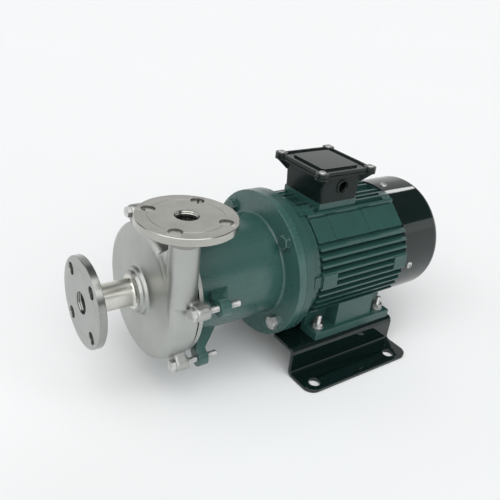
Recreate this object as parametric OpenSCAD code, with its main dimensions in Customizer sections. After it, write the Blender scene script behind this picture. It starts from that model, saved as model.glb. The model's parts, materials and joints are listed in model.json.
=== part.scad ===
// Magnetic drive pump: stainless volute casing, sealed magnetic coupling, finned foot-and-flange motor.
// The origin is on the floor at the middle of the four base holes. X runs from suction to fan, Z is up.

/* [Base] */
// Length of the base plate along the shaft
base_len = 147; // [130:1:180]
// Width of the raised top of the base plate
base_top_w = 140; // [134:1:150]
// Overall width of the base plate over its floor flanges
base_w = 208; // [200:1:230]
// Height of the base plate
base_h = 33; // [26:1:60]
// Thickness of the bent sheet
base_t = 4; // [3:0.5:5]
// Inside radius of the bends
base_bend_r = 3; // [2:0.5:5]
// Radius of the corners of the floor flanges
base_corner_r = 12; // [4:1:20]
// Spacing of the floor holes along the shaft
base_hole_dx = 110; // [90:1:120]
// Distance of the floor holes from the edge of the floor flange
base_hole_edge = 11.5; // [9:0.5:14]
// Diameter of the floor holes
base_hole_d = 12; // [8:0.5:14]
// Middle of the base plate ahead of the hole pattern
base_shift = 3.5; // [0:0.5:8]

/* [Motor] */
// Gap between the lowest fins and the plane of the feet
fin_floor_gap = 1; // [1:0.5:6]
// Foot hole spacing across the shaft
foot_a = 112; // [110:1:116]
// Foot hole spacing along the shaft
foot_b = 90; // [84:1:96]
// Distance from the flange face to the first foot hole
foot_c = 45; // [42:1:50]
// Diameter of the foot holes
foot_hole_d = 7; // [6.5:0.1:8]
// Length of a foot
foot_len = 110; // [106:1:116]
// Thickness of a foot
foot_t = 9; // [7:0.5:11]
// Middle of the feet ahead of the base hole pattern
motor_shift = 17; // [14:0.5:20]
// Outside diameter of the motor flange and of the bracket flange
flange_d = 153; // [150:1:162]
// Thickness of the motor flange
flange_t = 9; // [8:0.5:11]
// Bolt circle of the motor flange
flange_pcd = 130; // [128:1:132]
// Diameter of the locating spigot
spigot_d = 110; // [100:1:112]
// Length of the finned frame
frame_len = 124; // [118:1:136]
// Bore of the frame for the stator
stator_d = 110; // [106:1:112]
// Wall of the frame between the stator and the fins
frame_wall = 5; // [4:0.5:6]
// Height of the fins above the frame wall
fin_h = 10; // [9:0.5:12]
// Thickness of a fin at its tip
fin_t = 2.2; // [2:0.1:3]
// Draft of the sides of a fin
fin_draft = 7; // [3:0.5:8]
// Spacing of the fins
fin_pitch = 8; // [7:0.25:9]
// Step of the end shield above the frame wall
skirt_step = 7; // [6:0.5:8]
// Length of the end shield behind the flange
skirt_len = 16; // [14:1:22]
// Step of the fan cowl above the frame wall
cowl_step = 7; // [6:0.5:9]
// Length of the fan cowl
cowl_len = 59; // [54:1:75]
// Wall of the fan cowl
cowl_t = 1.6; // [1:0.1:2.5]
// Radius of the rear edge of the fan cowl
cowl_round = 10; // [6:1:14]
// Diameter of the motor shaft extension
shaft_d = 14; // [12:0.5:14]
// Length of the motor shaft extension
shaft_ext = 30; // [26:1:32]
// Diameter of the fan
fan_d = 104; // [80:1:112]
// Number of fan blades
fan_blades = 7; // [5:1:11]

/* [Terminal box] */
// Length and width of the terminal box lid
lid_w = 77; // [75:1:84]
// Middle of the terminal box along the shaft
box_x = -4.5; // [-8:0.5:-2]
// Width of the terminal box across the shaft
box_w = 58; // [54:1:62]
// Length of the terminal box at its bottom
box_len = 50; // [46:1:54]
// Height of the terminal box up to its lid
box_h = 31; // [28:0.5:40]
// Wall of the terminal box
box_wall = 3; // [2:0.25:4]
// Thickness of the lid
lid_t = 5; // [3:0.5:7]
// Height of the raised panel on the lid
panel_h = 3; // [1:0.5:5]
// Side of the raised panel on the lid
panel_w = 49; // [40:1:54]
// Distance of the lid screws from the edges of the lid
lid_screw_edge = 6; // [5.5:0.5:7]
// Bore of the cable entry
cable_d = 13; // [10:0.5:14]

/* [Bracket] */
// Length of the bracket from its motor face to its pump face
bracket_len = 108.5; // [104:0.5:120]
// Outside diameter of the bracket body
bracket_d = 105; // [103:1:108]
// Wall of the bracket body
bracket_wall = 6.5; // [5:0.25:7]
// Thickness of the bracket flange
bracket_flange_t = 9; // [8:0.5:12]
// Distance of the casing bolts outside the containment shell flange
ear_out = 10.5; // [10:0.5:13]
// Radius of an ear
ear_r = 8; // [7.5:0.5:9]
// Thickness of an ear
ear_t = 10; // [8:0.5:12]

/* [Pump casing] */
// Depth of the casing from its front plate to its joint
casing_depth = 27; // [26:0.5:32]
// Gap between the impeller and the wall of the pump chamber
volute_gap = 4; // [3:0.25:5]
// Drop of the drum below the shaft, for the growing scroll
volute_shift = 2; // [1:0.1:3]
// Radius of the front edge of the casing drum
casing_round = 7; // [4:0.5:9]
// Wall of the casing
casing_wall = 5; // [4:0.25:6]
// Distance from the front plate to the suction flange face
suction_len = 54.5; // [46:0.5:70]
// Height from the shaft to the discharge flange face
discharge_h = 97; // [92:0.5:120]
// Distance of the discharge axis outside the rim of the impeller
discharge_out = 3; // [2:0.5:4]
// Outside diameter of the pipes
pipe_d = 27; // [25:0.5:27]
// Bore of the pipes
pipe_bore_d = 21; // [18:0.5:22]
// Outside diameter of the pipe flanges
pipe_flange_d = 85; // [80:1:95]
// Bolt circle of the pipe flanges
pipe_flange_pcd = 65; // [60:0.5:68]
// Diameter of the pipe flange holes
pipe_hole_d = 12; // [10:0.5:14]
// Thickness of the pipe flanges
pipe_flange_t = 7; // [6:0.5:12]

/* [Magnetic coupling] */
// Thickness of the containment shell flange
shell_flange_t = 4; // [3:0.5:5]
// Reach of the containment shell flange beyond the casing joint
shell_lip = 3.5; // [2.5:0.5:4.5]
// Inside diameter of the containment shell
can_d = 59; // [58:0.5:60]
// Wall of the containment shell
can_wall = 1.5; // [1:0.1:2]
// Depth of the containment shell behind its flange
can_len = 57.5; // [56:0.5:60]
// Number of magnets around each rotor
magnet_count = 8; // [6:2:12]
// Length of the magnets
magnet_len = 26; // [20:1:28]
// Thickness of the magnets
magnet_t = 6; // [5:0.25:7]
// Running gap between the containment shell and the rotors
magnet_gap = 1.5; // [1:0.1:2]
// Diameter of the pump shaft
pump_shaft_d = 12; // [10:0.5:12]
// Diameter of the impeller
impeller_d = 104; // [90:1:106]
// Number of impeller blades
impeller_blades = 5; // [4:1:7]

/* [Fasteners] */
// Nominal diameter of the casing bolts
casing_bolt_d = 6; // [5:0.5:6]
// Length of the casing bolts under the head
casing_bolt_len = 46; // [44:1:60]
// Nominal diameter of the bracket bolts
bracket_bolt_d = 8; // [6:0.5:8]
// Nominal diameter of the foot bolts
foot_bolt_d = 6; // [5:0.5:6]
// Nominal diameter of the lid screws
lid_screw_d = 4; // [3:0.5:5]
// Nominal diameter of the cowl screws
cowl_screw_d = 4; // [3:0.5:5]
// Clearance around a fastener in its hole
bolt_gap = 0.15; // [0.1:0.05:0.3]
// Running clearance between a shaft and its bush
run_gap = 0.08; // [0.05:0.01:0.1]
// Seat clearance between fitted rings
seat_gap = 0.1; // [0.05:0.05:0.2]

/* [Hidden] */
$fn = 64;
steel = "#a8aca8";
green = "#2f5148";
black = "#1b1d1e";
graphite = "#3c4043";
bright = "#c9ccce";
copper = "#a8622c";
brass = "#b5974a";
rubber = "#202224";
ceramic = "#54585c";
magnet = "#6d7074";
lamination = "#7d7f80";
aluminium = "#b9bcbe";

base_hole_dy = base_w - 2 * base_hole_edge;
shell_d = stator_d + 2 * frame_wall;
fin_d = shell_d + 2 * fin_h;
skirt_d = shell_d + 2 * skirt_step;
cowl_d = shell_d + 2 * cowl_step;
box_base_h = fin_d / 2;
lid_screw_pitch = lid_w - 2 * lid_screw_edge;
// Shaft height above the motor feet
motor_h = fin_d / 2 + fin_floor_gap;
shaft_z = base_h + motor_h;
motor_face = motor_shift - foot_b / 2 - foot_c;
bracket_flange_x = motor_face - bracket_flange_t;
bracket_front = motor_face - bracket_len;
casing_back = bracket_front - shell_flange_t;
casing_front = casing_back - casing_depth;
suction_face = casing_front - suction_len;
frame_x0 = motor_face + flange_t + skirt_len;
frame_x1 = frame_x0 + frame_len;
cowl_x1 = frame_x1 + cowl_len;
base_x0 = base_shift - base_len / 2;
discharge_x = casing_back - casing_depth / 2;

bracket_r = bracket_d / 2;
bracket_in_r = bracket_r - bracket_wall;
// Steps from the pump chamber outwards: seat of the bearing housing, joint face, rim of the drum
recess_step = 2;
joint_land = 4.5;
casing_lip = 1;
chamber_r = impeller_d / 2 + volute_gap;
recess_r = chamber_r + recess_step;
joint_r = recess_r + joint_land;
casing_r = joint_r + casing_lip + volute_shift;
shell_flange_d = 2 * (joint_r + shell_lip);
ear_pcd = shell_flange_d + 2 * ear_out;
discharge_y = impeller_d / 2 + discharge_out;
can_r = can_d / 2;
can_out_r = can_r + can_wall;
inner_r = can_r - magnet_gap;
outer_magnet_r = can_out_r + magnet_gap;
carrier_in_r = outer_magnet_r + magnet_t;
carrier_r = carrier_in_r + 4;
can_end = bracket_front + can_len;
// Angles of the casing bolts from the far side upwards, clear of the discharge pipe
ear_angles = [44, 107, 170, 232, 292, 350];
lug_x0 = casing_back - 11.5;
lug_x1 = casing_back + 2;
lug_r = ear_r - 1;
ear_x0 = bracket_front + 7.5;

// Bearing of the motor shaft: bore, outside diameter and width of a 6202 race
race_d = 15;
race_out_d = 35;
race_w = 11;
race_groove_r = 3.1;
ball_r = 3;
ball_count = 8;
ball_pitch_r = (race_d + race_out_d) / 4;
front_race_x = motor_face + 7;
rear_race_x = frame_x1 - 6;
shield_hub_r = race_out_d / 2 + 7;
shaft_mid_r = race_d / 2 + 2.5;
shaft_tail_r = race_d / 2 - 1;
stack_x0 = frame_x0 + 26;
stack_x1 = frame_x1 - 28;
rotor_r = stator_d * 0.3;
air_gap = 0.4;
fan_x0 = frame_x1 + 17;
fan_x1 = fan_x0 + 20;
shaft_x1 = fan_x1 + 4;

// Solid of revolution about the shaft; points are [radius, x]
module turned(points) {
    translate([0, 0, shaft_z])
        rotate([0, 90, 0])
            rotate_extrude()
                polygon(points);
}

// Round bar along the shaft axis from x0 to x1
module bar(x0, x1, r) {
    translate([x0, 0, shaft_z])
        rotate([0, 90, 0])
            cylinder(h = x1 - x0, r = r);
}

// Tube along the shaft axis
module tube(x0, x1, r_in, r_out) {
    turned([[r_in, x0], [r_out, x0], [r_out, x1], [r_in, x1]]);
}

// Puts its child, made along +X at the origin, on a circle about the shaft
module around(count, r, start = 0) {
    for (i = [0 : count - 1])
        translate([0, 0, shaft_z])
            rotate([start + i * 360 / count, 0, 0])
                translate([0, r, 0])
                    children();
}

// Puts its child on a circle about the shaft at the listed angles
module at_angles(angles, r) {
    for (a = angles)
        translate([0, 0, shaft_z])
            rotate([a, 0, 0])
                translate([0, r, 0])
                    children();
}

// Round bar along X at the origin
module pin(x0, x1, r) {
    translate([x0, 0, 0])
        rotate([0, 90, 0])
            cylinder(h = x1 - x0, r = r);
}

// Hexagon bar along X at the origin; size is across the flats
module hex_pin(x0, x1, flats) {
    translate([x0, 0, 0])
        rotate([0, 90, 0])
            cylinder(h = x1 - x0, d = flats / cos(30), $fn = 6);
}

// Rectangle with round corners, centred
module round_rect(a, b, r) {
    square([a - 2 * r, b], center = true);
    square([a, b - 2 * r], center = true);
    for (sx = [-1, 1])
        for (sy = [-1, 1])
            translate([sx * (a / 2 - r), sy * (b / 2 - r)])
                circle(r);
}

// Drum along the shaft whose end at x1 has a round edge
module drum(x0, x1, r, edge) {
    bar(x0, x1 - edge, r);
    bar(x0, x1, r - edge);
    translate([x1 - edge, 0, shaft_z])
        rotate([0, 90, 0])
            rotate_extrude()
                translate([r - edge, 0])
                    circle(edge);
}

// The four base holes
module at_base_holes() {
    for (sx = [-1, 1])
        for (sy = [-1, 1])
            translate([sx * base_hole_dx / 2, sy * base_hole_dy / 2, 0])
                children();
}

// The four foot holes
module at_foot_holes() {
    for (sx = [-1, 1])
        for (sy = [-1, 1])
            translate([motor_shift + sx * foot_b / 2, sy * foot_a / 2, 0])
                children();
}

// Outline of the raised part of the base, seen along the shaft
module hat_outline(w, h, r) {
    translate([-w / 2, 0])
        square([w, h - r]);
    translate([-w / 2 + r, 0])
        square([w - 2 * r, h]);
    for (s = [-1, 1])
        translate([s * (w / 2 - r), h - r])
            circle(r);
}

// Bent sheet section of the base
module base_section() {
    outer_r = base_bend_r + base_t;
    difference() {
        union() {
            hat_outline(base_top_w, base_h, outer_r);
            for (s = [-1, 1])
                mirror([s < 0 ? 1 : 0, 0]) {
                    translate([base_top_w / 2 - base_t, 0])
                        square([(base_w - base_top_w) / 2 + base_t, base_t]);
                    difference() {
                        translate([base_top_w / 2, base_t])
                            square(base_bend_r);
                        translate([base_top_w / 2 + base_bend_r, base_t + base_bend_r])
                            circle(base_bend_r);
                    }
                }
        }
        translate([0, -1])
            hat_outline(base_top_w - 2 * base_t, base_h - base_t + 1, base_bend_r);
        for (s = [-1, 1])
            mirror([s < 0 ? 1 : 0, 0])
                difference() {
                    translate([base_top_w / 2 - base_t - 1, -1])
                        square(outer_r + 1);
                    translate([base_top_w / 2 + base_bend_r, outer_r])
                        circle(outer_r);
                }
    }
}

// Room around the motor flange, which dips below the top of the base
notch_gap = 2;
notch_w = 2 * sqrt(max(1, pow(flange_d / 2 + notch_gap, 2) - pow(motor_h, 2))) + 2 * notch_gap;

module base_plate() {
    color(black)
        difference() {
            intersection() {
                translate([base_x0, 0, 0])
                    rotate([90, 0, 90])
                        linear_extrude(base_len)
                            base_section();
                translate([base_shift, 0, -1])
                    linear_extrude(base_h + 2)
                        round_rect(base_len, base_w, base_corner_r);
            }
            translate([base_x0 - 1, -notch_w / 2, base_h - base_t - 1])
                cube([motor_face + flange_t + notch_gap - base_x0 + 1, notch_w, base_t + 2]);
            at_base_holes()
                translate([0, 0, -1])
                    cylinder(h = base_t + 2, d = base_hole_d);
            at_foot_holes()
                translate([0, 0, base_h - base_t - 1])
                    cylinder(h = base_t + 2, d = foot_hole_d);
        }
}

foot_outer = foot_a / 2 + 10;
foot_inner = foot_a / 2 - 15;
foot_wall = 5;
// Depth to which added forms run into the frame wall
root_in = 4;
fin_rows = [for (k = [-5 : 4]) fin_pitch * (k + 0.5)];
// The web between the bolts of a foot reaches up into the lowest row of fins
web_len = foot_b - 38;
web_inset = 3;
web_h = motor_h + fin_rows[0] + fin_t;
top_fins = [for (k = [1 : 4]) fin_pitch * k];
low_fins = [for (k = [-3 : 3]) fin_pitch * k];
pad_angle = 42;
pad_w = 26;
pad_r = fin_d / 2 - 3;
strip_x = [frame_x0 + 33, frame_x0 + 81];
strip_len = 16;
strip_h = 1.4;
boss_len = 12;
shield_screw_d = 4;
shield_hole = 10;
shield_tip_gap = 2;
shield_screw_r = shell_d / 2 + 0.5;
shield_head_h = 3;
shield_flats = 7;
shield_pocket = 8;
// Angles of the end shield screws from the far side upwards
side_boss_angles = [176, 356];
shield_screw_angles = concat(side_boss_angles, [69, 111, 249, 291]);
rear_rim = 16;
cowl_screw_turn = 5;
boss_r = shell_d / 2 + 9;
boss_w = 12;
// The bosses at the sides stand out beyond the fins
side_boss_len = 20;
side_boss_w = 14;
side_boss_h = fin_h + 1 + root_in;
// Fins and bosses stop short of the machined ends
fin_setback = 1;
boss_setback = 0.5;
side_setback = 1.5;

// Section of one row of fins, thin at the tips and thicker towards the shaft
module fin_outline(tip) {
    end = tip + 1.5;
    half_end = fin_t / 2 - 1.5 * tan(fin_draft);
    half_mid = fin_t / 2 + tip * tan(fin_draft);
    polygon([
        [-end, -half_end], [0, -half_mid], [end, -half_end],
        [end, half_end], [0, half_mid], [-end, half_end]
    ]);
}

// Cooling fins parallel to the floor on both sides, and upright fins above and below
module fins() {
    fin_x0 = frame_x0 + fin_setback;
    fin_len = frame_len - 2 * fin_setback;
    intersection() {
        bar(frame_x0, frame_x1, fin_d / 2);
        union() {
            for (z = fin_rows)
                translate([fin_x0, 0, shaft_z + z])
                    rotate([90, 0, 90])
                        linear_extrude(fin_len)
                            fin_outline(sqrt(pow(fin_d / 2, 2) - pow(z, 2)));
            for (y = top_fins)
                for (s = [-1, 1])
                    translate([fin_x0, s * y - fin_t / 2, shaft_z + shell_d / 4])
                        cube([fin_len, fin_t, fin_d / 4]);
            for (y = low_fins)
                translate([fin_x0, y - fin_t / 2, shaft_z - fin_d / 2 + 4])
                    cube([fin_len, fin_t, fin_d / 4]);
        }
    }
}

// Flat pad with two raised strips, on one upper shoulder of the frame
module shoulder_pad(side) {
    translate([0, 0, shaft_z])
        rotate([side * pad_angle, 0, 0]) {
            translate([frame_x0 + 2 * fin_setback, -pad_w / 2, shell_d / 2 - root_in])
                cube([frame_len - 4 * fin_setback, pad_w, pad_r - shell_d / 2 + root_in]);
            for (x = strip_x)
                translate([x - strip_len / 2, -pad_w / 2, shell_d / 2])
                    cube([strip_len, pad_w, pad_r - shell_d / 2 + strip_h]);
        }
}

// Foot with its inner wall and middle web, on the +Y side
module foot() {
    translate([motor_shift - foot_len / 2, foot_inner, base_h])
        cube([foot_len, foot_outer - foot_inner, foot_t]);
    translate([motor_shift - foot_len / 2, foot_inner, base_h])
        cube([foot_len, foot_wall, motor_h - stator_d * 0.31]);
    translate([motor_shift - web_len / 2, foot_inner, base_h])
        cube([web_len, foot_outer - foot_inner - web_inset, web_h]);
}

module motor_frame() {
    color(green)
        difference() {
            union() {
                bar(frame_x0, frame_x1, shell_d / 2);
                fins();
                shoulder_pad(1);
                shoulder_pad(-1);
                foot();
                mirror([0, 1, 0])
                    foot();
                translate([box_x - box_len / 2, -box_w / 2, shaft_z + shell_d / 4])
                    cube([box_len, box_w, box_base_h - shell_d / 4]);
                at_angles(shield_screw_angles, shell_d / 2 - root_in)
                    for (x = [frame_x0 + boss_setback, frame_x1 - boss_len])
                        translate([x, 0, -boss_w / 2])
                            cube([boss_len - boss_setback, boss_r - shell_d / 2 + root_in, boss_w]);
                at_angles(side_boss_angles, shell_d / 2 - root_in)
                    for (x = [frame_x0 + side_setback, frame_x1 - side_boss_len])
                        translate([x, 0, -side_boss_w / 2])
                            cube([side_boss_len - side_setback, side_boss_h, side_boss_w]);
            }
            bar(frame_x0 - 1, frame_x1 + 1, stator_d / 2);
            at_foot_holes()
                translate([0, 0, base_h - 1])
                    cylinder(h = foot_t + 2, d = foot_hole_d);
            at_angles(shield_screw_angles, shield_screw_r) {
                pin(frame_x0 - 1, frame_x0 + shield_hole, shield_screw_d / 2 + bolt_gap);
                pin(frame_x1 - shield_hole, frame_x1 + 1, shield_screw_d / 2 + bolt_gap);
            }
        }
}

module drive_end_shield() {
    lip = stator_d / 2 - seat_gap;
    web = motor_face + flange_t + 2;
    color(green)
        difference() {
            union() {
                turned([
                    [shaft_d / 2 + 2, motor_face - 3.5], [spigot_d / 2, motor_face - 3.5],
                    [spigot_d / 2, motor_face], [flange_d / 2, motor_face],
                    [flange_d / 2, motor_face + flange_t], [skirt_d / 2, motor_face + flange_t],
                    [skirt_d / 2, frame_x0], [lip, frame_x0], [lip, frame_x0 + 4], [lip - 5, frame_x0 + 4],
                    [lip - 5, web], [shield_hub_r, web], [shield_hub_r, front_race_x + race_w],
                    [race_out_d / 2, front_race_x + race_w], [race_out_d / 2, front_race_x],
                    [shaft_d / 2 + 2, front_race_x]
                ]);
                at_angles(shield_screw_angles, shell_d / 2 - 2)
                    translate([frame_x0 - shield_pocket, 0, -boss_w / 2])
                        cube([shield_pocket - boss_setback, boss_r - shell_d / 2 + 2, boss_w]);
            }
            around(4, flange_pcd / 2, 45)
                pin(motor_face - 1, motor_face + flange_t - 0.6, bracket_bolt_d / 2 + bolt_gap);
            at_angles(shield_screw_angles, shield_screw_r)
                pin(frame_x0 - shield_pocket - 1, frame_x0 + 1, shield_screw_d / 2 + bolt_gap);
            at_angles(shield_screw_angles, stator_d / 2)
                translate([motor_face + flange_t, 0, -boss_w / 2 - boss_setback])
                    cube([skirt_len - shield_pocket, boss_r + 1 - stator_d / 2, boss_w + 2 * boss_setback]);
        }
}

module rear_end_shield() {
    lip = stator_d / 2 - seat_gap;
    rim = cowl_d / 2 - cowl_t - seat_gap;
    color(green)
        difference() {
            turned([
                [shaft_tail_r + 1.5, frame_x1 + 7], [rim - 9, frame_x1 + 7], [rim - 9, frame_x1 + rear_rim],
                [rim, frame_x1 + rear_rim], [rim, frame_x1], [lip, frame_x1], [lip, frame_x1 - 4],
                [lip - 5, frame_x1 - 4], [lip - 5, frame_x1 + 1], [shield_hub_r, frame_x1 + 1],
                [shield_hub_r, rear_race_x], [race_out_d / 2, rear_race_x],
                [race_out_d / 2, rear_race_x + race_w], [shaft_tail_r + 1.5, rear_race_x + race_w]
            ]);
            at_cowl_screws()
                cylinder(h = cowl_d / 2 + 1, d = cowl_screw_d + 2 * bolt_gap);
            at_angles(shield_screw_angles, shield_screw_r)
                pin(frame_x1 - 1, frame_x1 + rear_rim + 1, shield_screw_d / 2 + bolt_gap);
        }
}

// Screws that hold both end shields to the frame
module shield_screws() {
    color(bright)
        at_angles(shield_screw_angles, shield_screw_r) {
            pin(frame_x0 - shield_pocket, frame_x0 + shield_hole - shield_tip_gap, shield_screw_d / 2);
            hex_pin(frame_x0 - shield_pocket - shield_head_h, frame_x0 - shield_pocket, shield_flats);
            pin(frame_x1 - shield_hole + shield_tip_gap, frame_x1 + rear_rim, shield_screw_d / 2);
            hex_pin(frame_x1 + rear_rim, frame_x1 + rear_rim + shield_head_h, shield_flats);
        }
}

// Radial screws of the fan cowl, pointing outwards from the shaft along local Z
module at_cowl_screws() {
    for (a = [0 : 90 : 270])
        translate([frame_x1 + 11, 0, shaft_z])
            rotate([a + cowl_screw_turn, 0, 0])
                children();
}

// Ring of vent slots through the rear of the cowl
module vent_ring(r_in, r_out, spokes, spoke_w) {
    difference() {
        tube(cowl_x1 - cowl_t - 1, cowl_x1 + 1, r_in, r_out);
        for (i = [0 : spokes - 1])
            translate([cowl_x1, 0, shaft_z])
                rotate([i * 360 / spokes, 0, 0])
                    translate([-cowl_t - 3, -spoke_w / 2, 0])
                        cube([cowl_t + 6, spoke_w, cowl_d]);
    }
}

vent_rings = 5;
vent_pitch = 9.2;
vent_w = 4.6;

module fan_cowl() {
    color(black)
        difference() {
            drum(frame_x1, cowl_x1, cowl_d / 2, cowl_round);
            drum(frame_x1 - 1, cowl_x1 - cowl_t, cowl_d / 2 - cowl_t, cowl_round - cowl_t);
            for (i = [0 : vent_rings - 1])
                vent_ring(10 + i * vent_pitch, 10 + i * vent_pitch + vent_w, 6, 5);
            at_cowl_screws()
                cylinder(h = cowl_d, d = cowl_screw_d + 2 * bolt_gap);
        }
}

module cowl_screws() {
    color(bright)
        at_cowl_screws() {
            translate([0, 0, cowl_d / 2 - 9])
                cylinder(h = 9, d = cowl_screw_d);
            translate([0, 0, cowl_d / 2])
                cylinder(h = 2.2, d = 2 * cowl_screw_d);
        }
}

slot_count = 24;
slot_depth = 14;
slot_w = 4.5;

module stator_core() {
    color(lamination)
        difference() {
            tube(stack_x0, stack_x1, rotor_r, stator_d / 2 - seat_gap);
            around(slot_count, rotor_r - 1)
                translate([stack_x0 - 1, 0, -slot_w / 2])
                    cube([stack_x1 - stack_x0 + 2, slot_depth + 1, slot_w]);
        }
}

// Copper in the slots and its end turns
module stator_windings() {
    turn_len = 17;
    turn_in = rotor_r + 3;
    turn_out = rotor_r + slot_depth + 2;
    color(copper) {
        intersection() {
            tube(stack_x0 - 2, stack_x1 + 2, rotor_r + 2, rotor_r + slot_depth - 1);
            around(slot_count, rotor_r)
                translate([stack_x0 - 2, 0, -slot_w / 2 + 0.4])
                    cube([stack_x1 - stack_x0 + 4, slot_depth, slot_w - 0.8]);
        }
        tube(stack_x0 - turn_len, stack_x0 - 1, turn_in, turn_out);
        tube(stack_x1 + 1, stack_x1 + turn_len, turn_in, turn_out);
    }
}

box_z0 = shaft_z + box_base_h;
box_z1 = box_z0 + box_h;
gasket_t = 1;
lid_z0 = box_z1 + gasket_t;
rim_t = 5;
lid_corner_r = 6;

// Plan of the box rim and of the lid: a square pulled in between its four screw corners
module lid_plan(w) {
    square(w - 8, center = true);
    for (sx = [-1, 1])
        for (sy = [-1, 1])
            translate([sx * (w / 2 - lid_corner_r), sy * (w / 2 - lid_corner_r)])
                round_rect(2 * lid_corner_r, 2 * lid_corner_r, lid_corner_r - 1);
}

// The four lid screws
module at_lid_screws() {
    for (sx = [-1, 1])
        for (sy = [-1, 1])
            translate([box_x + sx * lid_screw_pitch / 2, sy * lid_screw_pitch / 2, 0])
                children();
}

// Box wall flaring towards the lid, seen from the side
module box_side(len_low, len_high) {
    polygon([
        [-len_low / 2, 0], [len_low / 2, 0],
        [len_high / 2, box_h - rim_t], [-len_high / 2, box_h - rim_t]
    ]);
}

box_flare = 6;
// Collar and place of the cable entry
entry_collar = 1.5;
entry_out = 2;
entry_x = box_x + 2;
wire_hole_d = 16;
entry_z = box_z0 + box_h * 0.5;

module terminal_box() {
    color(graphite)
        difference() {
            union() {
                translate([box_x, box_w / 2, box_z0])
                    rotate([90, 0, 0])
                        linear_extrude(box_w)
                            box_side(box_len, box_len + box_flare);
                translate([box_x, 0, box_z1 - rim_t])
                    linear_extrude(rim_t)
                        lid_plan(lid_w);
                translate([entry_x, -box_w / 2 - entry_out, entry_z])
                    rotate([-90, 0, 0])
                        cylinder(h = box_wall + entry_out - 0.5, d = cable_d + 2 * entry_collar);
            }
            translate([box_x, box_w / 2 - box_wall, box_z0 + box_wall])
                rotate([90, 0, 0])
                    linear_extrude(box_w - 2 * box_wall)
                        polygon([
                            [-box_len / 2 + box_wall, 0], [box_len / 2 - box_wall, 0],
                            [box_len / 2 - box_wall + 2, box_h], [-box_len / 2 + box_wall - 2, box_h]
                        ]);
            translate([entry_x, -box_w / 2 - entry_out - 1, entry_z])
                rotate([-90, 0, 0])
                    cylinder(h = box_wall + entry_out + 2, d = cable_d);
            translate([box_x, 0, box_z0 - 1])
                cylinder(h = box_wall + 2, d = wire_hole_d);
            at_lid_screws()
                translate([0, 0, box_z1 - rim_t - 1])
                    cylinder(h = rim_t + 2, d = lid_screw_d + 2 * bolt_gap);
        }
}

module terminal_gasket() {
    color(rubber)
        translate([box_x, 0, box_z1])
            linear_extrude(gasket_t)
                difference() {
                    square(lid_w - 12, center = true);
                    square(box_w - 2 * box_wall - 2, center = true);
                    for (sx = [-1, 1])
                        for (sy = [-1, 1])
                            translate([sx * lid_screw_pitch / 2, sy * lid_screw_pitch / 2])
                                circle(lid_screw_d);
                }
}

module terminal_lid() {
    color(graphite)
        difference() {
            union() {
                translate([box_x, 0, lid_z0])
                    linear_extrude(lid_t)
                        lid_plan(lid_w);
                translate([box_x, 0, lid_z0])
                    linear_extrude(lid_t + panel_h)
                        round_rect(panel_w, panel_w, 4);
            }
            at_lid_screws()
                translate([0, 0, lid_z0 - 1])
                    cylinder(h = lid_t + 2, d = lid_screw_d + 2 * bolt_gap);
            translate([box_x, 0, lid_z0 - 1])
                linear_extrude(lid_t)
                    round_rect(panel_w - 6, panel_w - 6, 3);
        }
}

module lid_screws() {
    color(bright)
        at_lid_screws() {
            translate([0, 0, box_z1 - rim_t])
                cylinder(h = rim_t + gasket_t + lid_t, d = lid_screw_d);
            translate([0, 0, lid_z0 + lid_t])
                cylinder(h = 1.8, d = 1.8 * lid_screw_d);
        }
}

board_t = 8;
stud_d = 4;

module at_studs() {
    for (ix = [-1 : 1])
        for (sy = [-1, 1])
            translate([box_x + ix * 12, sy * 14, box_z0 + box_wall])
                children();
}

module terminal_board() {
    color(black)
        difference() {
            translate([box_x, 0, box_z0 + box_wall])
                linear_extrude(board_t)
                    difference() {
                        round_rect(38, 44, 2);
                        circle(d = 14);
                    }
            at_studs()
                translate([0, 0, 1])
                    cylinder(h = board_t, d = stud_d + 2 * bolt_gap);
        }
}

module terminal_studs() {
    color(brass)
        at_studs() {
            translate([0, 0, 1])
                cylinder(h = board_t + 7, d = stud_d);
            translate([0, 0, board_t])
                cylinder(h = 3, d = 7 / cos(30), $fn = 6);
        }
}

washer_t = 1.6;
foot_nut_h = 5;
foot_top = base_h + foot_t;
foot_flats = foot_bolt_d * 10 / 6;

module foot_bolts() {
    color(bright)
        at_foot_holes() {
            translate([0, 0, base_h - base_t - 4])
                cylinder(h = 4, d = foot_flats / cos(30), $fn = 6);
            translate([0, 0, base_h - base_t])
                cylinder(h = base_t + foot_t + washer_t + foot_nut_h + 8, d = foot_bolt_d);
        }
}

module foot_washers() {
    color(bright)
        at_foot_holes()
            translate([0, 0, foot_top])
                difference() {
                    cylinder(h = washer_t, d = 2 * foot_bolt_d + 1);
                    translate([0, 0, -1])
                        cylinder(h = washer_t + 2, d = foot_bolt_d + 2 * bolt_gap);
                }
}

module foot_nuts() {
    color(bright)
        at_foot_holes()
            translate([0, 0, foot_top + washer_t])
                difference() {
                    cylinder(h = foot_nut_h, d = foot_flats / cos(30), $fn = 6);
                    translate([0, 0, -1])
                        cylinder(h = foot_nut_h + 2, d = foot_bolt_d + 2 * bolt_gap);
                }
}

// Ring of a ball bearing with its groove
module race(x0, r_in, r_out) {
    difference() {
        tube(x0, x0 + race_w, r_in, r_out);
        translate([x0 + race_w / 2, 0, shaft_z])
            rotate([0, 90, 0])
                rotate_extrude()
                    translate([ball_pitch_r, 0])
                        circle(race_groove_r);
    }
}

module bearing_outer_rings() {
    color(bright)
        for (x = [front_race_x, rear_race_x])
            race(x, ball_pitch_r + 1.8, race_out_d / 2);
}

module bearing_inner_rings() {
    color(bright)
        for (x = [front_race_x, rear_race_x])
            race(x, race_d / 2, ball_pitch_r - 1.8);
}

module bearing_balls() {
    color(bright)
        for (x = [front_race_x, rear_race_x])
            around(ball_count, ball_pitch_r)
                translate([x + race_w / 2, 0, 0])
                    sphere(ball_r);
}

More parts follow.
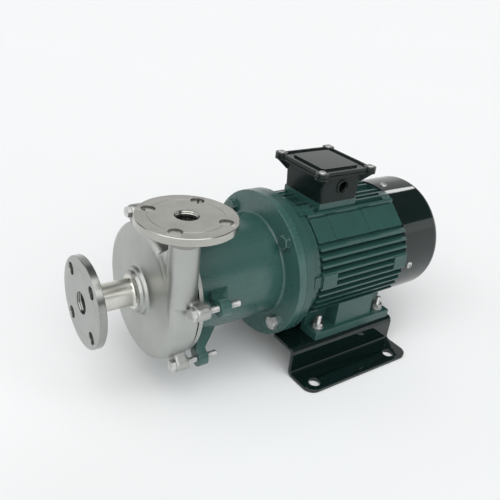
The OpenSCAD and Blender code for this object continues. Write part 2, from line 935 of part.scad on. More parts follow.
arm_front_x = bracket_front + 16;
arm_back_x = bracket_front + 36;
arm_foot_r = bracket_r - 3;
arm_half_w = ear_r - 1.5;

// Arm from the bracket body to one ear, along +Y of its own frame
module bracket_arm() {
    ear_mid = ear_pcd / 2;
    translate([0, 0, -arm_half_w])
        linear_extrude(2 * arm_half_w)
            polygon([
                [arm_back_x, arm_foot_r], [ear_x0 + ear_t, ear_mid - ear_r], [ear_x0 + ear_t, ear_mid],
                [ear_x0, ear_mid], [ear_x0, ear_mid - ear_r - 1], [arm_front_x, arm_foot_r]
            ]);
    translate([0, ear_mid, 0])
        pin(ear_x0, ear_x0 + ear_t, ear_r);
}

module bracket() {
    fillet = 2.5;
    register = spigot_d / 2 + seat_gap;
    color(green)
        difference() {
            union() {
                bar(bracket_front, motor_face, bracket_r);
                bar(bracket_flange_x, motor_face, flange_d / 2);
                translate([bracket_flange_x, 0, shaft_z])
                    rotate([0, 90, 0])
                        rotate_extrude()
                            difference() {
                                translate([bracket_r - 1, -fillet])
                                    square([fillet + 1, fillet]);
                                translate([bracket_r + fillet, -fillet])
                                    circle(fillet);
                            }
                at_angles(ear_angles, 0)
                    bracket_arm();
            }
            bar(bracket_front - 1, motor_face + 1, bracket_in_r);
            bar(motor_face - 4, motor_face + 1, register);
            at_angles(ear_angles, ear_pcd / 2)
                pin(ear_x0 - 1, ear_x0 + ear_t + 1, casing_bolt_d / 2 + bolt_gap);
            around(4, flange_pcd / 2, 45)
                pin(bracket_flange_x - 1, motor_face + 1, bracket_bolt_d / 2 + bolt_gap);
        }
}

bracket_flats = bracket_bolt_d * 13 / 8;
bracket_head_h = 5.3;

module bracket_bolts() {
    color(green)
        around(4, flange_pcd / 2, 45) {
            hex_pin(bracket_flange_x - bracket_head_h, bracket_flange_x, bracket_flats);
            pin(bracket_flange_x, motor_face + flange_t - 1, bracket_bolt_d / 2);
        }
}

pipe_r = pipe_d / 2;
pipe_bore_r = pipe_bore_d / 2;
bend_z = shaft_z + 14;
bend_r = discharge_y + 5;
bend_angle = 45;
// The discharge narrows to its throat below this height, and the suction widens at the impeller eye
throat_z = shaft_z + 45;
throat_r = pipe_bore_r - 1;
eye_x = casing_front + 0.5;
eye_r = pipe_bore_r + 1.5;
// Two steps round the foot of the suction pipe
collar_step = 3;
collar_len = 4;

// Pipe flange disc along +X at the origin, with its raised face outwards (-X)
module flange_disc() {
    difference() {
        pin(0, pipe_flange_t, pipe_flange_d / 2);
        for (i = [0 : 3])
            rotate([45 + 90 * i, 0, 0])
                translate([0, pipe_flange_pcd / 2, 0])
                    pin(-1, pipe_flange_t + 1, pipe_hole_d / 2);
    }
}

// Tangential discharge leg: straight down from its flange, then bending into the drum
module discharge_leg(r) {
    translate([discharge_x, -discharge_y, bend_z])
        cylinder(h = shaft_z + discharge_h - bend_z, r = r);
    translate([discharge_x, -discharge_y + bend_r, bend_z])
        rotate([0, 90, 0])
            rotate([0, 0, -90])
                rotate_extrude(angle = bend_angle)
                    translate([bend_r, 0])
                        circle(r);
}

// Lug for one casing bolt, along +Y of its own frame
module casing_lug() {
    translate([lug_x0, joint_r - 4, -lug_r])
        cube([casing_back - lug_x0, ear_pcd / 2 - joint_r + 4, 2 * lug_r]);
    translate([0, ear_pcd / 2, 0])
        pin(lug_x0, lug_x1, lug_r);
}

module pump_casing() {
    color(steel)
        difference() {
            union() {
                translate([0, 0, -volute_shift])
                    mirror([1, 0, 0])
                        drum(-casing_back, -casing_front, casing_r, casing_round);
                bar(suction_face, casing_front + 2, pipe_r - 0.5);
                bar(casing_front - collar_len, casing_front + 2, pipe_r + 3 * collar_step);
                bar(casing_front - 2 * collar_len, casing_front + 2, pipe_r + 2 * collar_step);
                translate([suction_face, 0, shaft_z])
                    flange_disc();
                discharge_leg(pipe_r);
                translate([discharge_x, -discharge_y, shaft_z + discharge_h])
                    rotate([0, 90, 0])
                        flange_disc();
                at_angles(ear_angles, 0)
                    casing_lug();
            }
            bar(casing_front + casing_wall, casing_back + 1, chamber_r);
            bar(housing_x0, casing_back + 1, recess_r);
            tube(casing_back - groove_t, casing_back + 1, joint_r - groove_w, joint_r);
            bar(suction_face - 1, eye_x + 1, pipe_bore_r);
            bar(eye_x, casing_front + casing_wall + 1, eye_r);
            discharge_leg(throat_r);
            translate([discharge_x, -discharge_y, throat_z])
                cylinder(h = shaft_z + discharge_h - throat_z + 1, r = pipe_bore_r);
            at_angles(ear_angles, ear_pcd / 2)
                pin(lug_x0 - 1, lug_x1 + 1, casing_bolt_d / 2 + bolt_gap);
        }
}

groove_t = 2;
groove_w = 3;
casing_flats = casing_bolt_d * 10 / 6;
casing_head_h = 4;

module casing_bolts() {
    color(bright)
        at_angles(ear_angles, ear_pcd / 2) {
            hex_pin(lug_x0 - casing_head_h, lug_x0, casing_flats);
            pin(lug_x0, lug_x0 + casing_bolt_len, casing_bolt_d / 2);
        }
}

module casing_gasket() {
    color(rubber)
        tube(casing_back - groove_t, casing_back, joint_r - groove_w + seat_gap, joint_r - seat_gap);
}

module containment_shell() {
    end_t = 3;
    color(steel)
        turned([
            [can_r, casing_back], [shell_flange_d / 2, casing_back], [shell_flange_d / 2, bracket_front],
            [can_out_r, bracket_front], [can_out_r, can_end], [0, can_end], [0, can_end - end_t],
            [can_r, can_end - end_t]
        ]);
}

housing_x0 = casing_back - 4;
housing_x1 = bracket_front + 22;
housing_r = 16;
bush_r = pump_shaft_d / 2 + 3;
bush_len = 10;

// Plate behind the impeller that carries the two bushes
module bearing_housing() {
    holes = 6;
    color(steel)
        difference() {
            turned([
                [bush_r, housing_x0], [recess_r - seat_gap, housing_x0],
                [recess_r - seat_gap, casing_back], [housing_r, casing_back],
                [housing_r, housing_x1], [bush_r, housing_x1]
            ]);
            around(holes, housing_r + 6)
                pin(housing_x0 - 1, casing_back + 1, 3);
        }
}

module bush(x0) {
    color(ceramic)
        tube(x0, x0 + bush_len, pump_shaft_d / 2 + run_gap, bush_r - seat_gap / 2);
}

module front_bush() {
    bush(housing_x0);
}

module rear_bush() {
    bush(housing_x1 - bush_len);
}

module motor_shaft() {
    color(bright)
        difference() {
            turned([
                [0, motor_face - shaft_ext], [shaft_d / 2, motor_face - shaft_ext],
                [shaft_d / 2, front_race_x - 1], [race_d / 2, front_race_x - 1],
                [race_d / 2, front_race_x + race_w], [shaft_mid_r, front_race_x + race_w],
                [shaft_mid_r, rear_race_x], [race_d / 2, rear_race_x], [race_d / 2, rear_race_x + race_w],
                [shaft_tail_r, rear_race_x + race_w], [shaft_tail_r, shaft_x1], [0, shaft_x1]
            ]);
            translate([key_x0, -key_w / 2, shaft_z + shaft_d / 2 - key_w / 2])
                cube([key_len, key_w, key_w]);
            tube(clip_x0, clip_x0 + clip_t, shaft_tail_r - 0.8, shaft_tail_r + 1);
        }
}

key_w = 5;
key_len = 18;
key_x0 = motor_face - shaft_ext + 3;
clip_x0 = fan_x1 + 0.4;
clip_t = 1.2;

module drive_key() {
    color(bright)
        translate([key_x0, -key_w / 2, shaft_z + shaft_d / 2 - key_w / 2])
            cube([key_len, key_w, key_w]);
}

module rotor_core() {
    color(lamination)
        tube(stack_x0, stack_x1, shaft_mid_r, rotor_r - air_gap);
}

// End rings of the rotor cage, with short vanes
module rotor_cage() {
    ring_t = 6;
    ring_in = shaft_mid_r + 7;
    ring_out = rotor_r - air_gap - 1;
    vane_len = 6;
    color(aluminium)
        for (x = [stack_x0 - ring_t, stack_x1]) {
            tube(x, x + ring_t, ring_in, ring_out);
            around(8, ring_out - 8)
                translate([x < stack_x0 ? x - vane_len : x + ring_t - 1, 0, -1])
                    cube([vane_len + 1, 7, 2]);
        }
}

module cooling_fan() {
    hub_r = shaft_tail_r + 6;
    disc_t = 2.5;
    blade_t = 2.2;
    color(graphite) {
        tube(fan_x0, fan_x1, shaft_tail_r, hub_r);
        tube(fan_x0, fan_x0 + disc_t, hub_r - 1, fan_d / 2 - 4);
        around(fan_blades, hub_r - 1)
            translate([fan_x0, 0, -blade_t / 2])
                cube([fan_x1 - fan_x0 - 2, fan_d / 2 - hub_r + 1, blade_t]);
    }
}

module fan_clip() {
    color(bright)
        difference() {
            tube(clip_x0 + 0.1, clip_x0 + clip_t - 0.1, shaft_tail_r - 0.7, shaft_tail_r + 2.5);
            translate([clip_x0 - 1, -1.5, shaft_z])
                cube([clip_t + 2, 3, 2 * shaft_tail_r]);
        }
}

magnet_x1 = can_end - 6;
magnet_x0 = magnet_x1 - magnet_len;
cup_x0 = magnet_x0 - 3;
cup_wall_x = can_end + 6;
hub_x1 = motor_face - 7;
rotor_hub_r = shaft_d / 2 + 8;

// Cup on the motor shaft that carries the driving magnets around the containment shell
module outer_rotor() {
    wall_t = 7;
    color(graphite)
        difference() {
            turned([
                [carrier_in_r, cup_x0], [carrier_r, cup_x0], [carrier_r, cup_wall_x + wall_t],
                [rotor_hub_r, cup_wall_x + wall_t], [rotor_hub_r, hub_x1], [shaft_d / 2, hub_x1],
                [shaft_d / 2, cup_wall_x], [carrier_in_r, cup_wall_x]
            ]);
            translate([cup_wall_x - 1, -key_w / 2 - seat_gap, shaft_z])
                cube([hub_x1 - cup_wall_x + 2, key_w + 2 * seat_gap, shaft_d / 2 + key_w / 2 + seat_gap]);
            translate([screw_x, 0, shaft_z])
                rotate([90, 0, 0])
                    cylinder(h = rotor_hub_r + 1, d = 4 + 2 * bolt_gap);
        }
}

screw_x = key_x0 + key_len - 4;

// Grub screw that locks the outer rotor on the motor shaft
module set_screw() {
    color(bright)
        translate([screw_x, -shaft_d / 2 - 0.2, shaft_z])
            rotate([90, 0, 0])
                cylinder(h = rotor_hub_r - shaft_d / 2 - 1, d = 4);
}

// Ring of magnet blocks with gaps between them
module magnet_ring(r_in, r_out) {
    slot = 1.6;
    difference() {
        tube(magnet_x0, magnet_x1, r_in, r_out);
        around(magnet_count, r_in - 1)
            translate([magnet_x0 - 1, 0, -slot / 2])
                cube([magnet_len + 2, r_out - r_in + 2, slot]);
    }
}

module outer_magnets() {
    color(magnet)
        magnet_ring(outer_magnet_r, carrier_in_r);
}

sleeve_t = 1;
inner_magnet_r = inner_r - sleeve_t - magnet_t;
impeller_x0 = casing_front + casing_wall + 2.5;
impeller_x1 = housing_x0 - 2;
shaft_front = impeller_x0 - 3;
shaft_back = magnet_x1 + 1;
pump_shaft_r = pump_shaft_d / 2;

module pump_shaft() {
    color(bright)
        bar(shaft_front, shaft_back, pump_shaft_r);
}

// One backward curved blade between two arcs, seen along the shaft
module blade_outline() {
    arc_r = impeller_d * 0.36;
    arc_t = 2.4;
    intersection() {
        difference() {
            circle(impeller_d / 2 - 0.5);
            circle(hub_blade_r);
        }
        translate([arc_r * 0.78, arc_r * 0.62])
            difference() {
                circle(arc_r);
                circle(arc_r - arc_t);
            }
        translate([0, -impeller_d])
            square([impeller_d, 2 * impeller_d]);
        translate([-impeller_d, -impeller_d * 2 + 14])
            square([2 * impeller_d, 2 * impeller_d]);
    }
}

hub_blade_r = 15;

// Closed impeller: back shroud with hub, curved blades and front shroud with its eye
module impeller() {
    shroud_t = 2.4;
    hub_r = pump_shaft_r + 4;
    color(steel) {
        tube(impeller_x1 - shroud_t, impeller_x1, pump_shaft_r, impeller_d / 2);
        tube(impeller_x0 + 3, impeller_x1, pump_shaft_r, hub_r);
        tube(impeller_x0, impeller_x0 + shroud_t, eye_r + 0.5, impeller_d / 2);
        translate([impeller_x0, 0, shaft_z])
            rotate([0, 90, 0])
                linear_extrude(impeller_x1 - impeller_x0)
                    for (i = [0 : impeller_blades - 1])
                        rotate(i * 360 / impeller_blades)
                            blade_outline();
    }
}

module impeller_nut() {
    color(bright)
        difference() {
            union() {
                translate([0, 0, shaft_z])
                    hex_pin(impeller_x0 - 4, impeller_x0 + 3, pump_shaft_d + 5);
                bar(impeller_x0 - 5, impeller_x0 - 4, pump_shaft_r + 1.5);
            }
            bar(shaft_front, impeller_x0 + 4, pump_shaft_r);
        }
}

module front_thrust_ring() {
    color(ceramic)
        tube(impeller_x1, housing_x0 - 0.3, pump_shaft_r, bush_r + 4);
}

module rear_thrust_ring() {
    color(ceramic)
        tube(housing_x1 + 0.3, magnet_x0 - 1, pump_shaft_r, bush_r + 4);
}

// Carrier on the pump shaft for the driven magnets
module inner_rotor() {
    color(steel)
        tube(magnet_x0 - 1, magnet_x1 + 1, pump_shaft_r, inner_magnet_r);
}

module inner_magnets() {
    color(magnet)
        magnet_ring(inner_magnet_r, inner_r - sleeve_t);
}

// Thin sleeve that seals the driven magnets
module magnet_sleeve() {
    color(steel)
        difference() {
            bar(magnet_x0 - 1, magnet_x1 + 1, inner_r);
            bar(magnet_x0, magnet_x1, inner_r - sleeve_t);
            bar(magnet_x0 - 2, magnet_x1 + 2, inner_magnet_r);
        }
}

base_plate();
motor_frame();
drive_end_shield();
rear_end_shield();
shield_screws();
fan_cowl();
cowl_screws();
stator_core();
stator_windings();
terminal_box();
terminal_gasket();
terminal_lid();
lid_screws();
terminal_board();
terminal_studs();
foot_bolts();
foot_washers();
foot_nuts();
bearing_outer_rings();
bracket();
bracket_bolts();
pump_casing();
casing_bolts();
casing_gasket();
containment_shell();
bearing_housing();
front_bush();
rear_bush();
motor_shaft();
rotor_core();
rotor_cage();
bearing_inner_rings();
bearing_balls();
cooling_fan();
fan_clip();
drive_key();
outer_rotor();
outer_magnets();
set_screw();
pump_shaft();
impeller();
impeller_nut();
front_thrust_ring();
rear_thrust_ring();
inner_rotor();
inner_magnets();
magnet_sleeve();
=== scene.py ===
"""Looks of a magnetic drive pump: finishes, castings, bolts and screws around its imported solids."""

import json
import math

import bpy
from mathutils import Matrix, Vector


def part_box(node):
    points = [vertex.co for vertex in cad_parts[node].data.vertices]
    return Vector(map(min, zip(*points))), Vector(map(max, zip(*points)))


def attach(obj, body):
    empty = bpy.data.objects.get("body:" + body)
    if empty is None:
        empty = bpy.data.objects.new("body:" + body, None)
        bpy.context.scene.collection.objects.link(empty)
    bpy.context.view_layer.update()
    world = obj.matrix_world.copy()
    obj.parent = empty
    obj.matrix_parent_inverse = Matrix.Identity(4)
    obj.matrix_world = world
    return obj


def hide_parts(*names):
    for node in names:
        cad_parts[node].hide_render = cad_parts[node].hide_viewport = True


bl_info = {
    "name": "Magnetic Drive Pump",
    "version": (1, 0, 0),
    "blender": (4, 5, 0),
    "location": "View3D > Sidebar > Pump",
    "description": "Dresses the pump's solids with castings, fasteners and finishes, "
                   "and sets its stage",
    "category": "Object",
}

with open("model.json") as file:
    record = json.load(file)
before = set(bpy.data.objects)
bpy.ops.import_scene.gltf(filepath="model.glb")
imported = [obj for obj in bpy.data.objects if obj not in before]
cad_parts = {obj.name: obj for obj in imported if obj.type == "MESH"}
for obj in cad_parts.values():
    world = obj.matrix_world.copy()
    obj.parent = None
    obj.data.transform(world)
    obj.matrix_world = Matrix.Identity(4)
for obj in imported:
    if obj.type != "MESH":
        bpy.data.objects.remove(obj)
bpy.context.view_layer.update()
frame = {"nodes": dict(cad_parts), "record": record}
NODES = frame["nodes"]
BODY = "pump_body"


def move(x, y, z):
    """Matrix that moves a piece"""
    return Matrix.Translation((x, y, z))


def spin(degrees, axis):
    """Matrix that turns a piece about an axis through the origin"""
    return Matrix.Rotation(math.radians(degrees), 4, axis)


# Places on the pump, in metres
SHAFT_Z = 0.104
SUCTION_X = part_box("pump_casing")[0].x
DISCHARGE_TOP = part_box("pump_casing")[1].z
CASING_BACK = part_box("containment_shell")[0].x
# Turns that lay a piece made along +Z towards the suction, the fan and the near side
TO_SUCTION, TO_FAN, TO_NEAR = spin(-90, "Y"), spin(90, "Y"), spin(90, "X")
# How far a cutting tool runs past the faces it cuts through, in metres
PAST = 0.001
FAR_PAST = 0.01
# The four corners of the terminal box, as signs along and across the shaft
CORNERS = ((-1, -1), (-1, 1), (1, -1), (1, 1))


# Sizes and colours

def hue(name, description, value):
    """Property for a colour"""
    return bpy.props.FloatVectorProperty(
        name=name, description=description, subtype="COLOR", size=3, min=0, max=1, default=value)


def length(name, description, value):
    """Property for a length in metres"""
    return bpy.props.FloatProperty(
        name=name, description=description, unit="LENGTH", default=value, precision=5)


def lengths(name, description, values):
    """Property for several lengths in metres"""
    return bpy.props.FloatVectorProperty(
        name=name, description=description, unit="LENGTH", size=len(values), default=values)


def bearing(name, description, degrees):
    """Property for an angle"""
    return bpy.props.FloatProperty(
        name=name, description=description, subtype="ANGLE", default=math.radians(degrees))


class PumpFinish(bpy.types.PropertyGroup):
    """Colours of the pump's finishes"""

    stainless: hue("Stainless", "Blasted stainless steel of the pump head", (0.435, 0.447, 0.425))
    machined: hue(
        "Machined stainless", "Turned steel of the pipes and of their flanges", (0.47, 0.465, 0.43))
    green: hue("Green paint", "Paint of the motor and of the bracket", (0.023, 0.070, 0.062))
    black: hue(
        "Black paint", "Gloss paint of the fan cowl and of the base plate", (0.0034, 0.0103, 0.009))
    grey: hue("Grey paint", "Paint of the terminal box", (0.006, 0.0125, 0.011))
    zinc: hue("Zinc", "Plated bolts, nuts and screws", (0.66, 0.66, 0.65))


class PumpCasing(bpy.types.PropertyGroup):
    """Sizes of the cast pump casing and of its pipe flanges"""

    drum_radius: length("Drum radius", "Outside radius of the casing drum", 0.0655)
    drum_drop: length("Drum drop", "Drop of the drum below the shaft", 0.002)
    drum_depth: length("Drum depth", "From the front plate to the joint", 0.027)
    drum_round: length("Drum round", "Radius of the front edge", 0.007)
    chamber_radius: length("Chamber radius", "Inside radius of the pump chamber", 0.056)
    wall: length("Wall", "Wall of the front plate", 0.005)
    discharge_y: length("Discharge offset", "Offset of the discharge pipe from the shaft", -0.055)
    pipe_radius: length("Pipe radius", "Outside radius of the discharge pipe", 0.0135)
    neck_radius: length("Neck radius", "Outside radius of the suction pipe", 0.013)
    collar_radius: length("Collar radius", "Radius of the collar at the neck's root", 0.0225)
    collar_depth: length("Collar depth", "Length of collar and step ahead of the drum", 0.008)
    step_radius: length("Step radius", "Radius of the step ahead of that collar", 0.0195)
    bore_radius: length("Bore radius", "Inside radius of both pipes", 0.0105)
    thread_pitch: length("Thread pitch", "Pitch of the thread in the mouth of a pipe", 0.0018)
    bend_z: length("Bend height", "Height where the discharge pipe begins to bend", 0.118)
    bend_radius: length("Bend radius", "Radius of that bend", 0.060)
    flange_radius: length("Flange radius", "Outside radius of the pipe flanges", 0.0425)
    flange_thickness: length("Flange thickness", "Thickness of the pipe flanges", 0.007)
    hole_circle: length("Hole circle", "Radius of the circle of flange holes", 0.0325)
    hole_radius: length("Hole radius", "Radius of a flange hole", 0.006)
    bolt_circle: length("Bolt circle", "Radius of the circle of casing bolts", 0.0765)
    lug_radius: length("Lug radius", "Radius of a bolt lug", 0.007)
    lug_front: length("Lug front", "Place of the bolt heads along the shaft", -0.197)
    lug_back: length("Lug back", "End of the lugs along the shaft", -0.1835)
    voxel: length("Grain", "Size of the cells that blend the casting", 0.0011)


class PumpFasteners(bpy.types.PropertyGroup):
    """Sizes of bolts, nuts and screws"""

    casing_flats: length("Casing bolt", "Across the flats of a casing or foot bolt", 0.010)
    casing_length: length("Casing bolt length", "Under the head", 0.046)
    bracket_flats: length("Bracket bolt", "Across the flats of a bracket bolt", 0.013)
    bracket_circle: length("Bracket circle", "Radius of the circle of bracket bolts", 0.065)
    foot_x: lengths("Foot bolts", "Places of the foot bolts along the shaft", (-0.028, 0.062))
    foot_y: length("Foot bolt offset", "Offset of the foot bolts from the shaft", 0.056)
    lid_radius: length("Lid screw", "Radius of a lid screw head", 0.0036)
    cowl_radius: length("Cowl screw", "Radius of a cowl screw head", 0.0040)


class PumpBox(bpy.types.PropertyGroup):
    """Sizes of the terminal box"""

    low_length: length("Low length", "Length at the bottom", 0.050)
    high_length: length("High length", "Length under the rim", 0.056)
    width: length("Width", "Width across the shaft", 0.058)
    wall: length("Wall", "Wall of the box", 0.003)
    corner_round: length("Corner round", "Radius of the upright edges", 0.0035)
    rim: length("Rim", "Thickness of the rim under the lid", 0.0022)
    rim_width: length("Rim width", "Side of the rim between its corner pads", 0.069)
    pad: length("Pad", "Side of a corner pad", 0.012)
    gusset: length("Gusset", "Height of the tapered form below a corner pad", 0.010)
    pad_height: length("Pad height", "Height of a corner pad of the lid", 0.0036)
    lid_height: length("Lid height", "Height of the lip and the panel of the lid", 0.0033)
    lid_sheet: length("Lid sheet", "Thickness of the lid between lip and panel", 0.0016)
    lip: length("Lip", "Width of the lip round the lid", 0.0022)
    panel: length("Panel", "Side of the panel on the lid", 0.049)
    entry_radius: length("Entry radius", "Inside radius of the cable entry", 0.0065)
    entry_rim: length("Entry rim", "Width of the collar round the cable entry", 0.0015)
    entry_place: lengths(
        "Entry place", "Cable entry from the middle of the bottom, along the shaft and upwards",
        (0.002, 0.0155))


class PumpStage(bpy.types.PropertyGroup):
    """Camera and floor of the stage"""

    azimuth: bearing("Azimuth", "Camera direction round the pump", -37.973)
    elevation: bearing("Elevation", "Camera height above the horizon", 27.106)
    roll: bearing("Roll", "Turn of the camera about its line of sight", 7.145)
    distance: length("Distance", "From the camera to its target", 0.61509)
    target: lengths("Target", "Point in the middle of the picture", (-0.08829, 0.0, 0.12008))
    lens: bpy.props.FloatProperty(
        name="Lens", description="Focal length on a 36 mm sensor",
        subtype="DISTANCE_CAMERA", default=43.154)
    floor: hue("Floor", "Colour of the pale floor", (0.875, 0.885, 0.89))


# Shader helpers

def tint(colour, factor):
    """Colour made darker or lighter by a factor"""
    return tuple(min(1.0, c * factor) for c in colour)


def fill(node, **inputs):
    """Gives a shader node's inputs their values"""
    for name, value in inputs.items():
        node.inputs[name.replace("_", " ")].default_value = value
    return node


class Shade:
    """One material and the few nodes that finishes are made from"""

    def __init__(self, name):
        self.material = bpy.data.materials.new(name)
        self.material.use_nodes = True
        self.nodes = self.material.node_tree.nodes
        self.links = self.material.node_tree.links
        self.bsdf = self.nodes["Principled BSDF"]
        self.place = self.nodes.new("ShaderNodeTexCoord").outputs["Object"]

    def set(self, **values):
        fill(self.bsdf, **values)

    def link(self, out, name):
        self.links.new(out, self.bsdf.inputs[name])

    def add(self, kind, **inputs):
        """New node with the values of its inputs"""
        return fill(self.nodes.new("ShaderNode" + kind), **inputs)

    def noise(self, scale, detail=4.0, rough=0.55):
        """Noise at a scale in waves per metre"""
        node = self.add("TexNoise", Scale=scale, Detail=detail, Roughness=rough)
        self.links.new(self.place, node.inputs["Vector"])
        return node.outputs["Fac"]

    def spread(self, value, span, out=(0.0, 1.0)):
        """Maps a value from one span to another, clamped"""
        (low, high), (out_low, out_high) = span, out
        node = self.add("MapRange", From_Min=low, From_Max=high, To_Min=out_low, To_Max=out_high)
        self.links.new(value, node.inputs["Value"])
        return node.outputs["Result"]

    def mix(self, factor, first, second):
        """Colour between first and second; each is a colour or a socket"""
        node = self.add("Mix")
        node.data_type = "RGBA"
        self.links.new(factor, node.inputs["Factor"])
        for name, value in (("A", first), ("B", second)):
            socket = [s for s in node.inputs if s.name == name and s.type == "RGBA"][0]
            if isinstance(value, bpy.types.NodeSocket):
                self.links.new(value, socket)
            else:
                socket.default_value = (*value, 1.0)
        return [s for s in node.outputs if s.type == "RGBA"][0]

    def patches(self, pattern, span, colour, darkest, lightest):
        """Colour between two tints of one colour, after a pattern"""
        return self.mix(self.spread(pattern, span), tint(colour, darkest), tint(colour, lightest))

    def bump(self, height, strength, distance, below=None):
        node = self.add("Bump", Strength=strength, Distance=distance)
        self.links.new(height, node.inputs["Height"])
        if below:
            self.links.new(below, node.inputs["Normal"])
        return node.outputs["Normal"]

    def edges(self, radius):
        """One along sharp edges and zero elsewhere, broken up by noise"""
        bevel = self.add("Bevel", Radius=radius)
        bevel.samples = 4
        dot = self.add("VectorMath")
        dot.operation = "DOT_PRODUCT"
        self.links.new(bevel.outputs["Normal"], dot.inputs[0])
        self.links.new(self.add("NewGeometry").outputs["Normal"], dot.inputs[1])
        near = self.spread(dot.outputs["Value"], (0.985, 0.85))
        patchy = self.spread(self.noise(240.0, rough=0.65), (0.38, 0.62), out=(0.15, 1.0))
        product = self.add("Math")
        product.operation = "MULTIPLY"
        self.links.new(near, product.inputs[0])
        self.links.new(patchy, product.inputs[1])
        return product.outputs["Value"]

    def crevice_shade(self, reach):
        """Painted shade: one in holes and along inner corners, zero on open faces"""
        node = self.add("AmbientOcclusion", Distance=reach)
        node.samples = 4
        return self.spread(node.outputs["AO"], (0.8, 0.3))

    def rings(self, centre, along, scale):
        """Turning marks round an axis through centre"""
        mapping = self.add("Mapping", Location=[-c for c in centre])
        self.links.new(self.place, mapping.inputs["Vector"])
        wave = self.add("TexWave", Scale=scale, Distortion=0.4, Detail=2.0)
        wave.wave_type = "RINGS"
        wave.rings_direction = along
        self.links.new(mapping.outputs["Vector"], wave.inputs["Vector"])
        return wave.outputs["Fac"]


# Finishes

# Spans in which most values of a noise lie, and of one with finer detail
COMMON = (0.3, 0.7)
CLOUDY = (0.35, 0.68)
# Reach of the painted shade in holes and inner corners of steel, in metres
CREVICE_SHADE_REACH = 0.008
# Colours of worn edges
WORN_GREEN = (0.075, 0.15, 0.135)
CHIPPED_GREEN = (0.30, 0.34, 0.32)
WORN_BLACK = (0.03, 0.04, 0.04)
WORN_GREY = (0.07, 0.085, 0.08)
# Finishes of inner pieces: material, colour, metallic, roughness and grain in waves per metre
INNER = {
    "copper": ("lacquered_copper", (0.42, 0.17, 0.06), 0.9, 0.35, 900.0),
    "brass": ("brass", (0.55, 0.40, 0.14), 1.0, 0.3, 400.0),
    "seal_rubber": ("seal_rubber", (0.012, 0.012, 0.012), 0.0, 0.7, 700.0),
    "ceramic": ("sintered_ceramic", (0.06, 0.063, 0.066), 0.0, 0.32, 900.0),
    "magnet": ("plated_magnet", (0.34, 0.35, 0.36), 1.0, 0.35, 500.0),
    "die_cast": ("die_cast", (0.55, 0.56, 0.57), 1.0, 0.5, 600.0),
    "black_plastic": ("moulded_plastic", (0.014, 0.014, 0.015), 0.0, 0.5, 800.0),
}


def blasted_stainless(colour):
    """Bead-blasted cast stainless steel with faint cloudy patches and painted shade in hollows"""
    s = Shade("blasted_stainless")
    cloud = s.noise(22.0, detail=5.0, rough=0.6)
    body = s.patches(cloud, CLOUDY, colour, 0.93, 1.05)
    # Painted shade: holes and inner corners darken towards half the colour
    s.link(s.mix(s.crevice_shade(CREVICE_SHADE_REACH), body, tint(colour, 0.5)), "Base Color")
    s.set(Metallic=1.0)
    s.link(s.spread(s.noise(60.0, detail=3.0), COMMON, out=(0.36, 0.44)), "Roughness")
    grain = s.bump(s.noise(2600.0, detail=2.0, rough=0.6), strength=0.16, distance=0.0003)
    s.link(s.bump(cloud, strength=0.05, distance=0.002, below=grain), "Normal")
    return s.material


def lathed(name, colour, centre, along, rough):
    """Stainless steel with fine turning marks round an axis and painted shade in hollows"""
    s = Shade(name)
    marks = s.rings(centre, along, 260.0)
    cloud = s.noise(40.0, detail=5.0, rough=0.6)
    body = s.patches(cloud, CLOUDY, colour, 0.9, 1.06)
    # Painted shade: holes and inner corners darken towards 0.3 of the colour
    s.link(s.mix(s.crevice_shade(CREVICE_SHADE_REACH), body, tint(colour, 0.3)), "Base Color")
    s.set(Metallic=1.0)
    s.link(s.spread(marks, (0.0, 1.0), out=(rough * 0.86, rough * 1.14)), "Roughness")
    s.link(s.bump(marks, strength=0.10, distance=0.0002), "Normal")
    return s.material


def paint(name, colour, rough, peel, worn, shine=0.5, edge=0.0007):
    """Sprayed paint with orange peel, soft dust and lighter worn edges"""
    s = Shade(name)
    cloud = s.noise(35.0, rough=0.6)
    body = s.patches(cloud, (0.3, 0.72), colour, 0.92, 1.1)
    s.link(s.mix(s.edges(edge), body, worn), "Base Color")
    dust = s.noise(90.0, detail=3.0)
    s.link(s.spread(dust, COMMON, out=(rough * 0.94, rough * 1.08)), "Roughness")
    s.set(Specular_IOR_Level=shine)
    s.link(s.bump(s.noise(520.0, detail=2.0, rough=0.5), strength=peel, distance=0.0006), "Normal")
    return s.material


def plated(name, colour, rough):
    """Zinc-plated steel with faint handling marks"""
    s = Shade(name)
    stain = s.noise(180.0, rough=0.6)
    s.link(s.patches(stain, (0.32, 0.7), colour, 0.72, 1.08), "Base Color")
    s.set(Metallic=1.0)
    s.link(s.spread(stain, COMMON, out=(rough - 0.06, rough + 0.1)), "Roughness")
    s.link(s.bump(s.noise(1500.0, detail=2.0), strength=0.08, distance=0.0002), "Normal")
    return s.material


def plain(name, colour, metal, rough, grain):
    """Finish of an inner piece, with a fine grain in waves per metre"""
    s = Shade(name)
    speck = s.noise(grain, rough=0.6)
    s.link(s.patches(speck, COMMON, colour, 0.8, 1.2), "Base Color")
    s.set(Metallic=metal)
    s.link(s.spread(speck, COMMON, out=(rough - 0.06, rough + 0.08)), "Roughness")
    s.link(s.bump(speck, strength=0.12, distance=0.0004), "Normal")
    return s.material


def layered(name, colour):
    """Stack of thin steel sheets across the shaft"""
    s = Shade(name)
    wave = s.add("TexWave", Scale=320.0, Distortion=0.2)
    wave.bands_direction = "X"
    s.links.new(s.place, wave.inputs["Vector"])
    s.link(s.mix(wave.outputs["Fac"], tint(colour, 0.7), tint(colour, 1.15)), "Base Color")
    s.set(Metallic=1.0, Roughness=0.45)
    s.link(s.bump(wave.outputs["Fac"], strength=0.25, distance=0.0002), "Normal")
    return s.material


FINISHES = {}


def dress(node, material):
    """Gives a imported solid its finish"""
    data = NODES[node].data
    data.materials.clear()
    data.materials.append(material)


